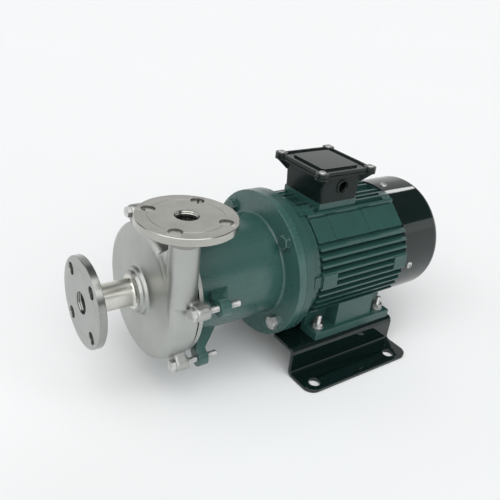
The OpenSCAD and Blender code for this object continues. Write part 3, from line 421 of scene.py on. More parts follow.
class PUMP_OT_finishes(bpy.types.Operator):
    """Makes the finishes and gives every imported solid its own"""

    bl_idname = "pump.finishes"
    bl_label = "Finishes"

    def execute(self, context):
        c = context.scene.pump_finish
        casing = context.scene.pump_casing
        suction = (SUCTION_X, 0.0, SHAFT_Z)
        discharge = (discharge_x(casing), casing.discharge_y, DISCHARGE_TOP)
        machined, green, grey = tuple(c.machined), tuple(c.green), tuple(c.grey)
        # The last number of a lathed finish is its roughness; a paint has roughness and peel
        FINISHES.update({
            "stainless": blasted_stainless(tuple(c.stainless)),
            "suction_face": lathed("turned_suction", tint(c.stainless, 0.8), suction, "X", 0.22),
            "discharge_face": lathed("turned_discharge", machined, discharge, "Z", 0.23),
            # Painted reflection: the suction pipe is the machined steel made 1.5 times lighter
            "suction_pipe": lathed("suction_pipe", tint(machined, 1.5), suction, "X", 0.28),
            # Painted shade: the discharge pipe is the machined steel made 0.6 times as light
            "discharge_pipe": lathed("discharge_pipe", tint(machined, 0.6), discharge, "Z", 0.32),
            "green_paint": paint("green_paint", green, 0.25, 0.07, WORN_GREEN),
            # Painted light: the bracket's paint is the motor's green made 1.25 times lighter
            "bracket_lit_paint": paint(
                "bracket_lit_paint", tint(green, 1.25), 0.28, 0.07, WORN_GREEN, shine=0.65),
            "chipped_paint": paint("chipped_paint", green, 0.25, 0.07, CHIPPED_GREEN, edge=0.0012),
            "black_paint": paint("black_paint", tuple(c.black), 0.06, 0.02, WORN_BLACK),
            "grey_paint": paint("grey_paint", grey, 0.2, 0.04, WORN_GREY, shine=0.2),
            "lid_paint": paint("lid_paint", grey, 0.15, 0.03, WORN_GREY, shine=0.28),
            "zinc": plated("zinc", tuple(c.zinc), rough=0.44),
            "lamination": layered("sheet_stack", (0.30, 0.30, 0.30)),
            **{name: plain(*values) for name, values in INNER.items()},
        })
        for part in frame["record"]["subparts"]:
            dress(part["node"], FINISHES[part["material_slot"]])
        dress("bracket", FINISHES["bracket_lit_paint"])
        return {"FINISHED"}


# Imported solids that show, with the widths of their rounded edges in metres
EDGE_WIDTHS = (
    ("bracket", 0.0008), ("motor_frame", 0.0004), ("drive_end_shield", 0.0007),
    ("base_plate", 0.0007), ("fan_cowl", 0.0004), ("containment_shell", 0.0004),
)
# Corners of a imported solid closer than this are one, in metres
SAME_CORNER = 2e-6
# Edges sharper than this are rounded, in degrees
SHARP_EDGE = 35.0


class PUMP_OT_edges(bpy.types.Operator):
    """Rounds the visible edges of castings, sheet and paint with modifiers"""

    bl_idname = "pump.edges"
    bl_label = "Edges"

    def execute(self, context):
        for node, width in EDGE_WIDTHS:
            modifiers = NODES[node].modifiers
            weld = modifiers.new("weld", "WELD")
            weld.merge_threshold = SAME_CORNER
            bevel = modifiers.new("edges", "BEVEL")
            bevel.width = width
            bevel.segments = 2
            bevel.limit_method = "ANGLE"
            bevel.angle_limit = math.radians(SHARP_EDGE)
            normals = modifiers.new("normals", "WEIGHTED_NORMAL")
            normals.keep_sharp = False
        return {"FINISHED"}


# Modelling helpers

def clear():
    """Leaves edit mode and selects nothing"""
    if bpy.context.mode != "OBJECT":
        bpy.ops.object.mode_set(mode="OBJECT")
    bpy.ops.object.select_all(action="DESELECT")


def pick(*objs):
    """Selects these objects and makes the first one active"""
    clear()
    for obj in objs:
        obj.select_set(True)
    bpy.context.view_layer.objects.active = objs[0]


def edit_only(obj, kind, test):
    """Enters edit mode with just those faces or edges selected that pass a test"""
    pick(obj)
    bpy.ops.object.mode_set(mode="EDIT")
    bpy.ops.mesh.select_mode(type=kind)
    bpy.ops.mesh.select_all(action="DESELECT")
    bpy.ops.object.mode_set(mode="OBJECT")
    for item in obj.data.polygons if kind == "FACE" else obj.data.edges:
        item.select = test(item)
    bpy.ops.object.mode_set(mode="EDIT")


def face_outwards():
    """Turns all faces of the edited piece outwards and leaves edit mode"""
    bpy.ops.mesh.select_all(action="SELECT")
    bpy.ops.mesh.normals_make_consistent(inside=False)
    bpy.ops.object.mode_set(mode="OBJECT")


def turn(name, profile, sides=64):
    """Turns a profile of radius and height about Z into a closed piece"""
    clear()
    radius, height = profile[0]
    bpy.ops.mesh.primitive_circle_add(
        vertices=sides, radius=radius, location=(0, 0, 0), fill_type="NGON")
    obj = bpy.context.object
    obj.name = name
    bpy.ops.object.mode_set(mode="EDIT")
    bpy.ops.mesh.select_all(action="SELECT")
    bpy.ops.transform.translate(value=(0, 0, height))
    for r, z in profile[1:]:
        bpy.ops.mesh.extrude_region_move(TRANSFORM_OT_translate={"value": (0, 0, z - height)})
        if r != radius:
            share = r / radius
            bpy.ops.transform.resize(value=(share, share, 1.0), center_override=(0, 0, z))
        radius, height = r, z
    bpy.ops.mesh.select_all(action="SELECT")
    bpy.ops.mesh.remove_doubles(threshold=1e-6)
    face_outwards()
    return obj


def block(name, low, high):
    """Box between two corners"""
    clear()
    low, high = Vector(low), Vector(high)
    bpy.ops.mesh.primitive_cube_add(size=1.0)
    obj = bpy.context.object
    obj.name = name
    obj.data.transform(
        Matrix.Translation((low + high) / 2) @ Matrix.Diagonal((*(high - low), 1.0)))
    return obj


def put(obj, matrix):
    """Moves a piece to its place and keeps the place in its mesh"""
    obj.matrix_world = matrix
    pick(obj)
    bpy.ops.object.transform_apply(location=True, rotation=True, scale=True)
    return obj


def join(*objs):
    """Makes one object of several"""
    pick(*objs)
    bpy.ops.object.join()
    return bpy.context.object


def apply(obj, kind, **values):
    """Adds a modifier and applies it"""
    modifier = obj.modifiers.new(kind.lower(), kind)
    for name, value in values.items():
        setattr(modifier, name, value)
    pick(obj)
    bpy.ops.object.modifier_apply(modifier=modifier.name)
    return obj


def combine(obj, tool, operation):
    """Boolean of a piece with a tool that goes afterwards"""
    apply(obj, "BOOLEAN", operation=operation, object=tool, solver="EXACT")
    bpy.data.objects.remove(tool, do_unlink=True)
    return obj


def ease(obj, width, angle):
    """Rounds the edges of a piece that are sharper than an angle in degrees"""
    return apply(obj, "BEVEL", width=width, segments=2, limit_method="ANGLE",
                 angle_limit=math.radians(angle))


def smooth(obj, angle):
    """Smooth shading up to an angle in degrees, with drilled flat faces kept flat"""
    pick(obj)
    bpy.ops.object.shade_smooth_by_angle(angle=math.radians(angle))
    most_corners = 8
    for face in obj.data.polygons:
        face.use_smooth = len(face.vertices) <= most_corners
    return obj


def level(obj):
    """Shading in which wide walls outweigh their rounded edges"""
    return apply(obj, "WEIGHTED_NORMAL", keep_sharp=True)


def seat(obj, node, look):
    """Hands a finished piece to the pump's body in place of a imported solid"""
    obj.data.materials.clear()
    obj.data.materials.append(FINISHES[look])
    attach(obj, BODY)
    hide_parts(node)
    return obj


def copies(obj, matrices):
    """The piece at each place, every copy with its own mesh"""
    pieces = []
    for i, matrix in enumerate(matrices):
        copy = obj.copy()
        copy.data = obj.data.copy()
        copy.name = f"{obj.name}_{i + 1}"
        bpy.context.scene.collection.objects.link(copy)
        pieces.append(put(copy, matrix))
    bpy.data.objects.remove(obj, do_unlink=True)
    return pieces


def seat_zinc(obj, matrices, node):
    """Seats a copy of a zinc-plated piece at each place"""
    for piece in copies(obj, matrices):
        seat(piece, node, "zinc")


def quarter_arc(centre, radius, steps):
    """Points of a quarter arc in a profile, from the radius axis to the height axis"""
    angles = [math.radians(90.0 * i / steps) for i in range(steps + 1)]
    return [(centre[0] + radius * math.cos(a), centre[1] + radius * math.sin(a)) for a in angles]


# Casing

# Fine sizes of the casing, in metres
FLANGE_EDGE, FLANGE_EASE = 0.0005, 0.0003  # chamfer of the rim, rounding of the holes
SCRIBE_INSET, SCRIBE_DEPTH = 0.0008, 0.00022  # line scribed inside the circle of holes
NECK_ROOT, STEP_DEPTH = 0.002, 0.004  # suction pipe in the front plate, step ahead of its collar
WEB_DEPTH, SUCTION_DEPTH = 0.018, 0.065  # webs of the lugs, bore of the suction pipe
# Directions of the casing bolts from the far side upwards, in degrees
BOLT_ANGLES = (44, 107, 170, 232, 292, 350)


def discharge_x(c):
    """Place of the discharge pipe along the shaft"""
    return CASING_BACK - c.drum_depth / 2


def around_shaft(x, radius, degrees):
    """Place at a radius round the shaft, its own +Y turned outwards"""
    return move(x, 0.0, SHAFT_Z) @ spin(degrees, "X") @ move(0.0, radius, 0.0)


def bolt_places(c):
    """Places of the casing bolts under their heads"""
    return [around_shaft(c.lug_front, c.bolt_circle, a) @ TO_FAN for a in BOLT_ANGLES]


def thread_grooves(c, thickness):
    """Profile of the thread in the mouth of a pipe, opening into a small chamfer at the face"""
    pitch, r = c.thread_pitch, c.bore_radius
    count = int(thickness / pitch)
    points = []
    for i in range(count):
        z = thickness - pitch * (count - i)
        points += [(r, z), (r + pitch * 0.4, z + pitch * 0.5)]
    return [*points, (r, thickness - pitch * 0.02), (r + pitch * 0.35, thickness + pitch * 0.3)]


def pipe_flange(name, c):
    """Flange disc from its back at z 0 to its turned face, with a scribed line and drilled holes"""
    r, t, edge, line = c.flange_radius, c.flange_thickness, FLANGE_EDGE, SCRIBE_DEPTH
    scribe = c.hole_circle - SCRIBE_INSET
    disc = turn(name, [
        (r - edge, 0.0), (r, edge), (r, t - edge), (r - edge, t),
        (scribe + line, t), (scribe, t - line), (scribe - line, t),
    ], sides=128)
    drill = turn("drill", [(c.hole_radius, -FAR_PAST), (c.hole_radius, t + FAR_PAST)], sides=40)
    aside = move(c.hole_circle, 0.0, 0.0)
    drills = copies(drill, [spin(45 + 90 * i, "Z") @ aside for i in range(4)])
    bore = turn("bore", [
        (c.bore_radius, -FAR_PAST), *thread_grooves(c, t), (c.bore_radius, t + FAR_PAST)])
    for tool in (bore, *drills):
        combine(disc, tool, "DIFFERENCE")
    return smooth(ease(disc, FLANGE_EASE, 60.0), 35.0)


class PUMP_OT_casing(bpy.types.Operator):
    """Casts the pump casing, drum, bend, neck and bolt lugs in one, and adds its pipe flanges"""

    bl_idname = "pump.casing"
    bl_label = "Casing"

    def execute(self, context):
        c = context.scene.pump_casing
        body = join(self.drum(c), *self.discharge(c), self.neck(c), *self.lugs(c))
        body.name = "casing_casting"
        apply(body, "REMESH", mode="VOXEL", voxel_size=c.voxel, use_smooth_shade=True)
        apply(body, "SMOOTH", factor=0.5, iterations=9)
        for tool in self.hollows(c):
            combine(body, tool, "DIFFERENCE")
        smooth(body, 40.0)
        seat(body, "pump_casing", "stainless")
        self.machine_pipes(body, c)
        thick = c.flange_thickness
        front = move(SUCTION_X + thick, 0.0, SHAFT_Z) @ TO_SUCTION
        suction = put(pipe_flange("suction_flange", c), front)
        seat(suction, "pump_casing", "suction_face")
        top = move(discharge_x(c), c.discharge_y, DISCHARGE_TOP - thick)
        discharge = put(pipe_flange("discharge_flange", c), top)
        seat(discharge, "pump_casing", "discharge_face")
        return {"FINISHED"}

    def drum(self, c):
        r, d, e = c.drum_radius, c.drum_depth, c.drum_round
        drum = turn("drum", [(r, 0.0), *quarter_arc((r - e, d - e), e, 8)], 128)
        place = move(CASING_BACK, 0.0, SHAFT_Z - c.drum_drop)
        return put(drum, place @ TO_SUCTION)

    def discharge(self, c):
        """Straight pipe down from its flange, and the bend into the drum"""
        x, y, r = discharge_x(c), c.discharge_y, c.pipe_radius
        pipe = turn("pipe", [(r, c.bend_z), (r, DISCHARGE_TOP - c.flange_thickness / 2)])
        put(pipe, move(x, y, 0.0))
        bend = turn("bend", [(r, c.bend_z), (r, c.bend_z + PAST)])
        put(bend, move(x, y, 0.0))
        edit_only(bend, "FACE", lambda face: face.normal.z < -0.9)
        bpy.ops.mesh.spin(steps=10, angle=math.radians(45), axis=(1, 0, 0),
                          center=(x, y + c.bend_radius, c.bend_z))
        face_outwards()
        return pipe, bend

    def neck(self, c):
        """Suction pipe with its two collars"""
        root = CASING_BACK - c.drum_depth + NECK_ROOT
        front = root - SUCTION_X - c.flange_thickness / 2
        deep = c.collar_depth + NECK_ROOT
        neck = turn("neck", [
            (c.collar_radius, 0.0), (c.collar_radius, deep - STEP_DEPTH),
            (c.step_radius, deep - STEP_DEPTH), (c.step_radius, deep),
            (c.neck_radius, deep), (c.neck_radius, front),
        ])
        return put(neck, move(root, 0.0, SHAFT_Z) @ TO_SUCTION)

    def lugs(self, c):
        """Round lugs of the casing bolts, and the webs that join them to the drum"""
        r = c.lug_radius
        lug = turn("lug", [(r, 0.0), (r, c.lug_back - c.lug_front)], 48)
        round_ends = copies(lug, bolt_places(c))
        web = block("web", (c.lug_front, -WEB_DEPTH, -r), (CASING_BACK, 0.0, r))
        webs = copies(web, [around_shaft(0.0, c.bolt_circle, a) for a in BOLT_ANGLES])
        return [*round_ends, *webs]

    def hollows(self, c):
        """Chamber and both pipe bores"""
        r, bore = c.chamber_radius, c.bore_radius
        chamber = turn("chamber", [(r, -3 * PAST), (r, c.drum_depth - c.wall)], 128)
        put(chamber, move(CASING_BACK, 0.0, SHAFT_Z) @ TO_SUCTION)
        suction = turn("suction", [(bore, 0.0), (bore, SUCTION_DEPTH)])
        put(suction, move(SUCTION_X - PAST, 0.0, SHAFT_Z) @ TO_FAN)
        discharge = turn("discharge", [(bore, c.bend_z), (bore, DISCHARGE_TOP + PAST)])
        put(discharge, move(discharge_x(c), c.discharge_y, 0.0))
        return chamber, suction, discharge

    def machine_pipes(self, body, c):
        """Gives the straight pipes their turned finish, lighter and darker as painted light"""
        body.data.materials.append(FINISHES["suction_pipe"])
        body.data.materials.append(FINISHES["discharge_pipe"])
        collar_end = CASING_BACK - c.drum_depth - c.collar_depth
        drum_top = SHAFT_Z + c.drum_radius + c.pipe_radius / 2
        for face in body.data.polygons:
            if face.center.x < collar_end:
                face.material_index = 1
            elif face.center.z > drum_top:
                face.material_index = 2


# Terminal box

# Fine sizes of the box and its lid, in metres
BOX_EDGE = 0.0005
RIM_ROUND, POCKET_ROUND, PANEL_ROUND = 0.002, 0.003, 0.004
PANEL_ROOT, PANEL_RISE = 0.0005, 0.0002  # depth in the sheet, height above the lip
ENTRY_ROOT, ENTRY_OUT, ENTRY_EDGE = 0.002, 0.0015, 0.0004  # collar in the wall, off it, chamfer
ENTRY_PITCH = 0.0011


def rounded_block(name, middle, halves, heights, radius, spread=1.0):
    """Upright block with round vertical edges, its top drawn out along the shaft by spread"""
    (x, y), (dx, dy), (low, high) = middle, halves, heights
    obj = block(name, (x - dx, y - dy, low), (x + dx, y + dy, high))
    tall = 0.8 * (high - low)

    def upright(edge):
        first, second = (obj.data.vertices[i].co for i in edge.vertices)
        return abs(first.z - second.z) > tall

    edit_only(obj, "FACE", lambda face: face.normal.z > 0.9)
    bpy.ops.transform.resize(value=(spread, 1.0, 1.0), center_override=(x, y, high))
    edit_only(obj, "EDGE", upright)
    bpy.ops.mesh.bevel(offset=radius, segments=5, affect="EDGES")
    face_outwards()
    return obj


class PUMP_OT_terminal_box(bpy.types.Operator):
    """Casts the terminal box: flared walls, thin rim, corner pads with gussets and cable entry"""

    bl_idname = "pump.terminal_box"
    bl_label = "Terminal Box"

    def execute(self, context):
        b = context.scene.pump_box
        low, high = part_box("terminal_box")
        x, z0, z1 = (low.x + high.x) / 2, low.z, high.z
        half_l, half_w, side = b.low_length / 2, b.width / 2, b.rim_width / 2
        box = rounded_block(
            "terminal_box_casting", (x, 0.0), (half_l, half_w), (z0, z1 - b.rim / 2),
            b.corner_round, b.high_length / b.low_length)
        rim = rounded_block("rim", (x, 0.0), (side, side), (z1 - b.rim, z1), RIM_ROUND)
        combine(box, rim, "UNION")
        reach = (high.x - low.x) / 2 - b.pad / 2
        for sx, sy in CORNERS:
            self.corner(box, b, (x + sx * reach, sy * reach), (sx, sy), z1)
        inner = b.low_length - 2 * b.wall
        hollow = rounded_block(
            "hollow", (x, 0.0), (inner / 2, half_w - b.wall), (z0 + b.wall, z1 + PAST),
            RIM_ROUND, (b.high_length - 2 * b.wall) / inner)
        combine(box, hollow, "DIFFERENCE")
        self.entry(box, b, (x + b.entry_place[0], -half_w, z0 + b.entry_place[1]))
        level(smooth(ease(box, BOX_EDGE, 40.0), 30.0))
        seat(box, "terminal_box", "grey_paint")
        return {"FINISHED"}

    def corner(self, box, b, place, sides, top):
        """Pad for a lid screw, with a gusset that runs down to the corner of the walls"""
        h = b.pad / 2
        pad = rounded_block("pad", place, (h, h), (top - b.rim, top), h * 0.8)
        combine(box, pad, "UNION")
        wide, narrow = h * 0.86, h * 0.3
        gusset = turn("gusset", [(wide, b.gusset), (wide, b.gusset + b.rim / 2)], 32)
        foot = turn("foot", [(narrow, 0.0), (narrow, b.gusset)], 16)
        put(foot, move(-sides[0] * h * 1.08, -sides[1] * h * 0.83, 0.0))
        gusset = join(gusset, foot)
        bpy.ops.object.mode_set(mode="EDIT")
        bpy.ops.mesh.select_all(action="SELECT")
        bpy.ops.mesh.convex_hull(use_existing_faces=False, make_holes=False)
        clear()
        put(gusset, move(*place, top - b.rim - b.gusset))
        combine(box, gusset, "UNION")

    def entry(self, box, b, place):
        """Collar and threaded hole of the cable entry on the near side"""
        r, out, pitch, edge = b.entry_radius, ENTRY_OUT, ENTRY_PITCH, ENTRY_EDGE
        outer = r + b.entry_rim
        collar = turn("collar", [(outer, -ENTRY_ROOT), (outer, out - edge), (outer - edge, out)])
        combine(box, put(collar, move(*place) @ TO_NEAR), "UNION")
        start = out - b.wall - ENTRY_ROOT
        grooves = [(r + (i % 2) * pitch * 0.4, start + i * pitch / 2) for i in range(9)]
        hole = turn("hole", [(r, -4 * b.wall), *grooves, (r, out + 4 * PAST)])
        combine(box, put(hole, move(*place) @ TO_NEAR), "DIFFERENCE")


class PUMP_OT_terminal_lid(bpy.types.Operator):
    """Casts the lid of the terminal box: thin sheet with a lip, a raised panel and screw pads"""

    bl_idname = "pump.terminal_lid"
    bl_label = "Terminal Lid"

    def execute(self, context):
        b = context.scene.pump_box
        low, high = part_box("terminal_lid")
        x, z = (low.x + high.x) / 2, low.z
        side, half, h = b.rim_width / 2, b.panel / 2, b.pad / 2
        inside = side - b.lip
        top, sheet = z + b.lid_height, z + b.lid_sheet
        lid = rounded_block("terminal_lid_casting", (x, 0.0), (side, side), (z, top), RIM_ROUND)
        pocket = rounded_block(
            "pocket", (x, 0.0), (inside, inside), (sheet, top + 2 * PAST), POCKET_ROUND)
        combine(lid, pocket, "DIFFERENCE")
        panel = rounded_block(
            "panel", (x, 0.0), (half, half), (sheet - PANEL_ROOT, top + PANEL_RISE), PANEL_ROUND)
        combine(lid, panel, "UNION")
        reach = (high.x - low.x) / 2 - h
        for sx, sy in CORNERS:
            pad = rounded_block(
                "pad", (x + sx * reach, sy * reach), (h, h), (z, z + b.pad_height), h * 0.8)
            combine(lid, pad, "UNION")
        level(smooth(ease(lid, BOX_EDGE, 40.0), 30.0))
        seat(lid, "terminal_lid", "lid_paint")
        return {"FINISHED"}


# Fasteners

# Share of half the flats that the flat end of a hexagon keeps, and the slope of its turned corners
HEX_FACE = 0.94
HEX_SLOPE = 0.58
# Height of the head, radius of the shank and pitch of the thread of a bolt, in metres
SMALL_BOLT = (0.004, 0.003, 0.001)
BRACKET_BOLT = (0.0053, 0.004, 0.00125)
# Share of a bolt's shank without thread
PLAIN_SHANK = 0.35
# Dome of a screw head, in shares of its radius and height
DOME = ((1.0, 0.0), (1.0, 0.35), (0.93, 0.65), (0.72, 0.9), (0.4, 1.0))
# Fine sizes of the fasteners, in metres
WASHER_RADIUS, WASHER_EDGE, WASHER_BORE, NUT_BORE = 0.0065, 0.0002, 0.0033, 0.0031
SCREW_RADIUS, LID_LENGTH, COWL_LENGTH, COWL_HEIGHT = 0.002, 0.006, 0.008, 0.0022
LID_RISE = 0.003  # panel of the solid lid above its corners
# Turns of the foot nuts, in degrees
NUT_TURNS = (12.0, 40.0, 25.0, 3.0)
# Turns of the lid screws by their places along and across the shaft, in radians per metre
SCREW_TURNS = (40, 17)
# Turn of the first cowl screw from the top, in degrees
COWL_TURN = 5


def threaded(radius, start, end, pitch):
    """Profile of a threaded end between two heights, with a chamfered tip"""
    points = []
    z = start
    while z + pitch < end - pitch:
        points += [(radius - pitch * 0.45, z + pitch * 0.5), (radius, z + pitch)]
        z += pitch
    return [*points, (radius, end - pitch), (radius - pitch, end)]


def hexagon(name, flats, low, high, chamfer_low=False):
    """Hexagon with its corners turned off, as a bolt head or a nut has them"""
    corner, face = flats / math.sqrt(3), flats / 2 * HEX_FACE
    prism = turn(name, [(corner, low), (corner, high)], 6)
    drop = (corner - face) * HEX_SLOPE
    clear_of = corner + 1e-4
    outline = [(clear_of, low), (clear_of, high - drop), (face, high)]
    if chamfer_low:
        outline = [(face, low), (clear_of, low + drop), *outline[1:]]
    return combine(prism, turn("turned", outline), "INTERSECT")


def hex_bolt(name, flats, long, sizes):
    """Bolt along +Z: the head below the origin, the shank above it"""
    head, radius, pitch = sizes
    cap = hexagon("cap", flats, 0.0, head)
    put(cap, spin(180, "X"))
    bare = long * PLAIN_SHANK
    shank = turn(
        name, [(radius, -head / 2), (radius, bare), *threaded(radius, bare, long, pitch)], 32)
    return smooth(join(shank, cap), 25.0)


def pan_screw(name, radius, height, shank, long):
    """Screw along +Z with a domed head above the origin and a cross recess"""
    head = turn("head", [(radius * r, height * h) for r, h in DOME], 40)
    half, thin = radius * 0.55, radius * 0.11
    for turned in (0.0, 90.0):
        slot = block("slot", (-half, -thin, height * 0.45), (half, thin, height * 2))
        put(slot, spin(turned, "Z"))
        combine(head, slot, "DIFFERENCE")
    pin = turn(name, [(shank, -long), (shank, height * 0.2)], 24)
    return smooth(join(pin, head), 30.0)


class PUMP_OT_bolts(bpy.types.Operator):
    """Makes the casing bolts, the bracket bolts and the bolts, nuts and washers of the feet"""

    bl_idname = "pump.bolts"
    bl_label = "Bolts"

    def execute(self, context):
        f, c = context.scene.pump_fasteners, context.scene.pump_casing
        bolt = hex_bolt("casing_bolt", f.casing_flats, f.casing_length, SMALL_BOLT)
        seat_zinc(bolt, bolt_places(c), "casing_bolts")
        self.bracket(f)
        self.feet(f)
        return {"FINISHED"}

    def bracket(self, f):
        """Painted bolts of the bracket, of which the lower near one is bare zinc"""
        low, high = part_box("bracket_bolts")
        head = BRACKET_BOLT[0]
        bolt = hex_bolt("bracket_bolt", f.bracket_flats, high.x - low.x - head, BRACKET_BOLT)
        places = [around_shaft(low.x + head, f.bracket_circle, 45 + 90 * i) @ TO_FAN
                  for i in range(4)]
        looks = ("chipped_paint", "chipped_paint", "zinc", "chipped_paint")
        for piece, name in zip(copies(bolt, places), looks):
            seat(piece, "bracket_bolts", name)

    def feet(self, f):
        """Bolts through feet and base plate, with washers and nuts on top"""
        spots = [(x, side * f.foot_y) for x in f.foot_x for side in (-1, 1)]

        def at(z):
            return [move(x, y, z) for x, y in spots]

        low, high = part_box("foot_bolts")
        head = SMALL_BOLT[0]
        bolt = hex_bolt("foot_bolt", f.casing_flats, high.z - low.z - head, SMALL_BOLT)
        seat_zinc(bolt, at(low.z + head), "foot_bolts")
        low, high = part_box("foot_washers")
        r, h, e = WASHER_RADIUS, high.z - low.z, WASHER_EDGE
        washer = turn("foot_washer", [(r - e, 0.0), (r, e), (r, h - e), (r - e, h)], 48)
        seat_zinc(self.drilled(washer, WASHER_BORE), at(low.z), "foot_washers")
        low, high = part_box("foot_nuts")
        nut = hexagon("foot_nut", f.casing_flats, 0.0, high.z - low.z, chamfer_low=True)
        places = [place @ spin(turned, "Z") for place, turned in zip(at(low.z), NUT_TURNS)]
        seat_zinc(self.drilled(nut, NUT_BORE), places, "foot_nuts")

    def drilled(self, piece, radius):
        """Washer or nut with its hole"""
        bore = turn("bore", [(radius, -PAST), (radius, FAR_PAST)], 32)
        return smooth(combine(piece, bore, "DIFFERENCE"), 25.0)


class PUMP_OT_screws(bpy.types.Operator):
    """Makes the screws of the terminal box lid and of the fan cowl"""

    bl_idname = "pump.screws"
    bl_label = "Screws"

    def execute(self, context):
        f = context.scene.pump_fasteners
        self.lid(f, context.scene.pump_box.pad_height)
        self.cowl(f)
        return {"FINISHED"}

    def lid(self, f, pad_height):
        """Screws on the corner pads of the lid, with heads as tall as the solid ones"""
        low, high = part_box("lid_screws")
        lid_low, lid_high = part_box("terminal_lid")
        height = high.z - (lid_high.z - LID_RISE)
        screw = pan_screw("lid_screw", f.lid_radius, height, SCREW_RADIUS, LID_LENGTH)
        xs = (low.x + f.lid_radius, high.x - f.lid_radius)
        ys = (low.y + f.lid_radius, high.y - f.lid_radius)
        along, across = SCREW_TURNS
        seat_zinc(screw, [
            move(x, y, lid_low.z + pad_height)
            @ Matrix.Rotation(x * along + y * across, 4, "Z") for x in xs for y in ys
        ], "lid_screws")

    def cowl(self, f):
        """Screws round the open end of the fan cowl"""
        low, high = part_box("cowl_screws")
        cowl_low, cowl_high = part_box("fan_cowl")
        screw = pan_screw("cowl_screw", f.cowl_radius, COWL_HEIGHT, SCREW_RADIUS, COWL_LENGTH)
        middle = move((low.x + high.x) / 2, 0.0, SHAFT_Z)
        outwards = move(0.0, 0.0, (cowl_high.y - cowl_low.y) / 2)
        places = [middle @ spin(COWL_TURN + 90 * i, "X") @ outwards for i in range(4)]
        seat_zinc(screw, places, "cowl_screws")


# Stage

# Height of a direction and level of the sky there
SKY_LEVELS = ((0.0, 0.94), (0.25, 0.93), (0.34, 0.12), (0.6, 0.07), (1.0, 0.2))
# Heights between which the light boxes fade in above the horizon
FADE_IN = (0.22, 0.34)
# Direction, half angle and soft edge in degrees, and level of each light box round the pump
SOFT_BOXES = (
    ((-0.30, -0.48, 0.82), 40.0, 6.0, 1.9),
    ((-0.93, 0.20, 0.34), 26.0, 8.0, 1.2),
    ((0.55, 0.70, 0.46), 20.0, 8.0, 0.6),
    ((0.78, -0.58, 0.21), 12.0, 1.5, 1.0),
    ((0.745, 0.315, 0.588), 2.2, 1.2, 7.0),
)
SKY_COLOUR = (0.995, 1.0, 1.0, 1.0)
# Side of the floor and its drop below the pump, in metres
FLOOR_SIZE = 60.0
FLOOR_DROP = 0.0002


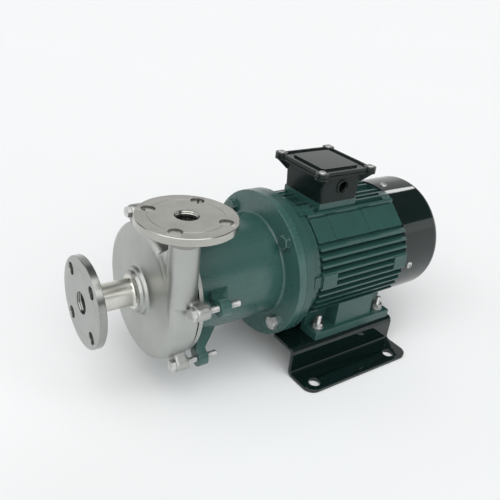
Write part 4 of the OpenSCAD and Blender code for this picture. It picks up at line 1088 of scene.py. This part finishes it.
class PUMP_OT_stage(bpy.types.Operator):
    """Sets the pale floor, the soft lights and the camera"""

    bl_idname = "pump.stage"
    bl_label = "Stage"

    def execute(self, context):
        scene = context.scene
        scene.view_settings.view_transform = "Standard"
        self.make_floor(scene.pump_stage)
        self.make_world(scene)
        self.make_camera(scene, scene.pump_stage)
        return {"FINISHED"}

    def make_floor(self, stage):
        clear()
        bpy.ops.mesh.primitive_plane_add(size=FLOOR_SIZE, location=(0, 0, -FLOOR_DROP))
        floor = bpy.context.object
        floor.name = "floor"
        s = Shade("pale_floor")
        colour = tuple(stage.floor)
        cloud = s.noise(0.8, detail=2.0)
        s.link(s.mix(cloud, tint(colour, 0.99), tint(colour, 1.01)), "Base Color")
        s.set(Roughness=0.9, Specular_IOR_Level=0.0)
        floor.data.materials.append(s.material)

    def make_world(self, scene):
        """Dim studio with a pale horizon and large soft boxes of light"""
        world = bpy.data.worlds.new("studio")
        scene.world = world
        world.use_nodes = True
        nodes, links = world.node_tree.nodes, world.node_tree.links
        way = nodes.new("ShaderNodeTexCoord").outputs["Generated"]
        parts = nodes.new("ShaderNodeSeparateXYZ")
        links.new(way, parts.inputs["Vector"])
        ramp = nodes.new("ShaderNodeValToRGB")
        stops = ramp.color_ramp.elements
        for i, (height, light) in enumerate(SKY_LEVELS):
            stop = stops[i] if i < 2 else stops.new(height)
            stop.position = height
            stop.color = (light, light, light, 1.0)
        links.new(parts.outputs["Z"], ramp.inputs["Fac"])
        total = ramp.outputs["Color"]
        above = nodes.new("ShaderNodeMapRange")
        fill(above, From_Min=FADE_IN[0], From_Max=FADE_IN[1])
        links.new(parts.outputs["Z"], above.inputs["Value"])
        for direction, wide, soft, light in SOFT_BOXES:
            dot = nodes.new("ShaderNodeVectorMath")
            dot.operation = "DOT_PRODUCT"
            links.new(way, dot.inputs[0])
            dot.inputs[1].default_value = Vector(direction).normalized()
            fall = nodes.new("ShaderNodeMapRange")
            fall.interpolation_type = "SMOOTHSTEP"
            fill(fall, From_Min=math.cos(math.radians(wide + soft)),
                 From_Max=math.cos(math.radians(wide)), To_Max=light)
            links.new(dot.outputs["Value"], fall.inputs["Value"])
            add = nodes.new("ShaderNodeMath")
            add.operation = "MULTIPLY_ADD"
            links.new(fall.outputs["Result"], add.inputs[0])
            links.new(above.outputs["Result"], add.inputs[1])
            links.new(total, add.inputs[2])
            total = add.outputs["Value"]
        back = nodes["Background"]
        back.inputs["Color"].default_value = SKY_COLOUR
        links.new(total, back.inputs["Strength"])

    def make_camera(self, scene, stage):
        """Camera at the photo's angle"""
        a, e, r = stage.azimuth, stage.elevation, stage.roll
        back = Vector((math.sin(a) * math.cos(e), -math.cos(a) * math.cos(e), math.sin(e)))
        level_right = Vector((math.cos(a), math.sin(a), 0.0))
        level_up = back.cross(level_right)
        right = level_right * math.cos(r) + level_up * math.sin(r)
        up = level_up * math.cos(r) - level_right * math.sin(r)
        data = bpy.data.cameras.new("camera")
        data.sensor_width = 36.0
        data.sensor_fit = "HORIZONTAL"
        data.lens = stage.lens
        data.clip_start = 0.01
        data.clip_end = 100.0
        camera = bpy.data.objects.new("camera", data)
        scene.collection.objects.link(camera)
        place = Matrix((right, up, back)).transposed().to_4x4()
        place.translation = Vector(stage.target) + back * stage.distance
        camera.matrix_world = place
        scene.camera = camera


class PUMP_PT_panel(bpy.types.Panel):
    """Lists the steps and the values of the pump"""

    bl_idname = "PUMP_PT_panel"
    bl_label = "Pump"
    bl_space_type = "VIEW_3D"
    bl_region_type = "UI"
    bl_category = "Pump"

    def draw(self, context):
        for operator in OPERATORS:
            self.layout.operator(operator.bl_idname)
        for name, group in GROUPS:
            box = self.layout.box()
            for prop in group.__annotations__:
                box.prop(getattr(context.scene, name), prop)


GROUPS = (
    ("pump_finish", PumpFinish), ("pump_casing", PumpCasing), ("pump_fasteners", PumpFasteners),
    ("pump_box", PumpBox), ("pump_stage", PumpStage),
)
OPERATORS = (
    PUMP_OT_finishes, PUMP_OT_edges, PUMP_OT_casing, PUMP_OT_terminal_box, PUMP_OT_terminal_lid,
    PUMP_OT_bolts, PUMP_OT_screws, PUMP_OT_stage,
)


def register():
    for name, group in GROUPS:
        bpy.utils.register_class(group)
        setattr(bpy.types.Scene, name, bpy.props.PointerProperty(type=group))
    for cls in (*OPERATORS, PUMP_PT_panel):
        bpy.utils.register_class(cls)


def unregister():
    for cls in (PUMP_PT_panel, *reversed(OPERATORS)):
        bpy.utils.unregister_class(cls)
    for name, group in reversed(GROUPS):
        delattr(bpy.types.Scene, name)
        bpy.utils.unregister_class(group)


def main():
    register()
    bpy.ops.pump.finishes()
    bpy.ops.pump.edges()
    bpy.ops.pump.casing()
    bpy.ops.pump.terminal_box()
    bpy.ops.pump.terminal_lid()
    bpy.ops.pump.bolts()
    bpy.ops.pump.screws()
    bpy.ops.pump.stage()


if __name__ == "__main__":
    main()
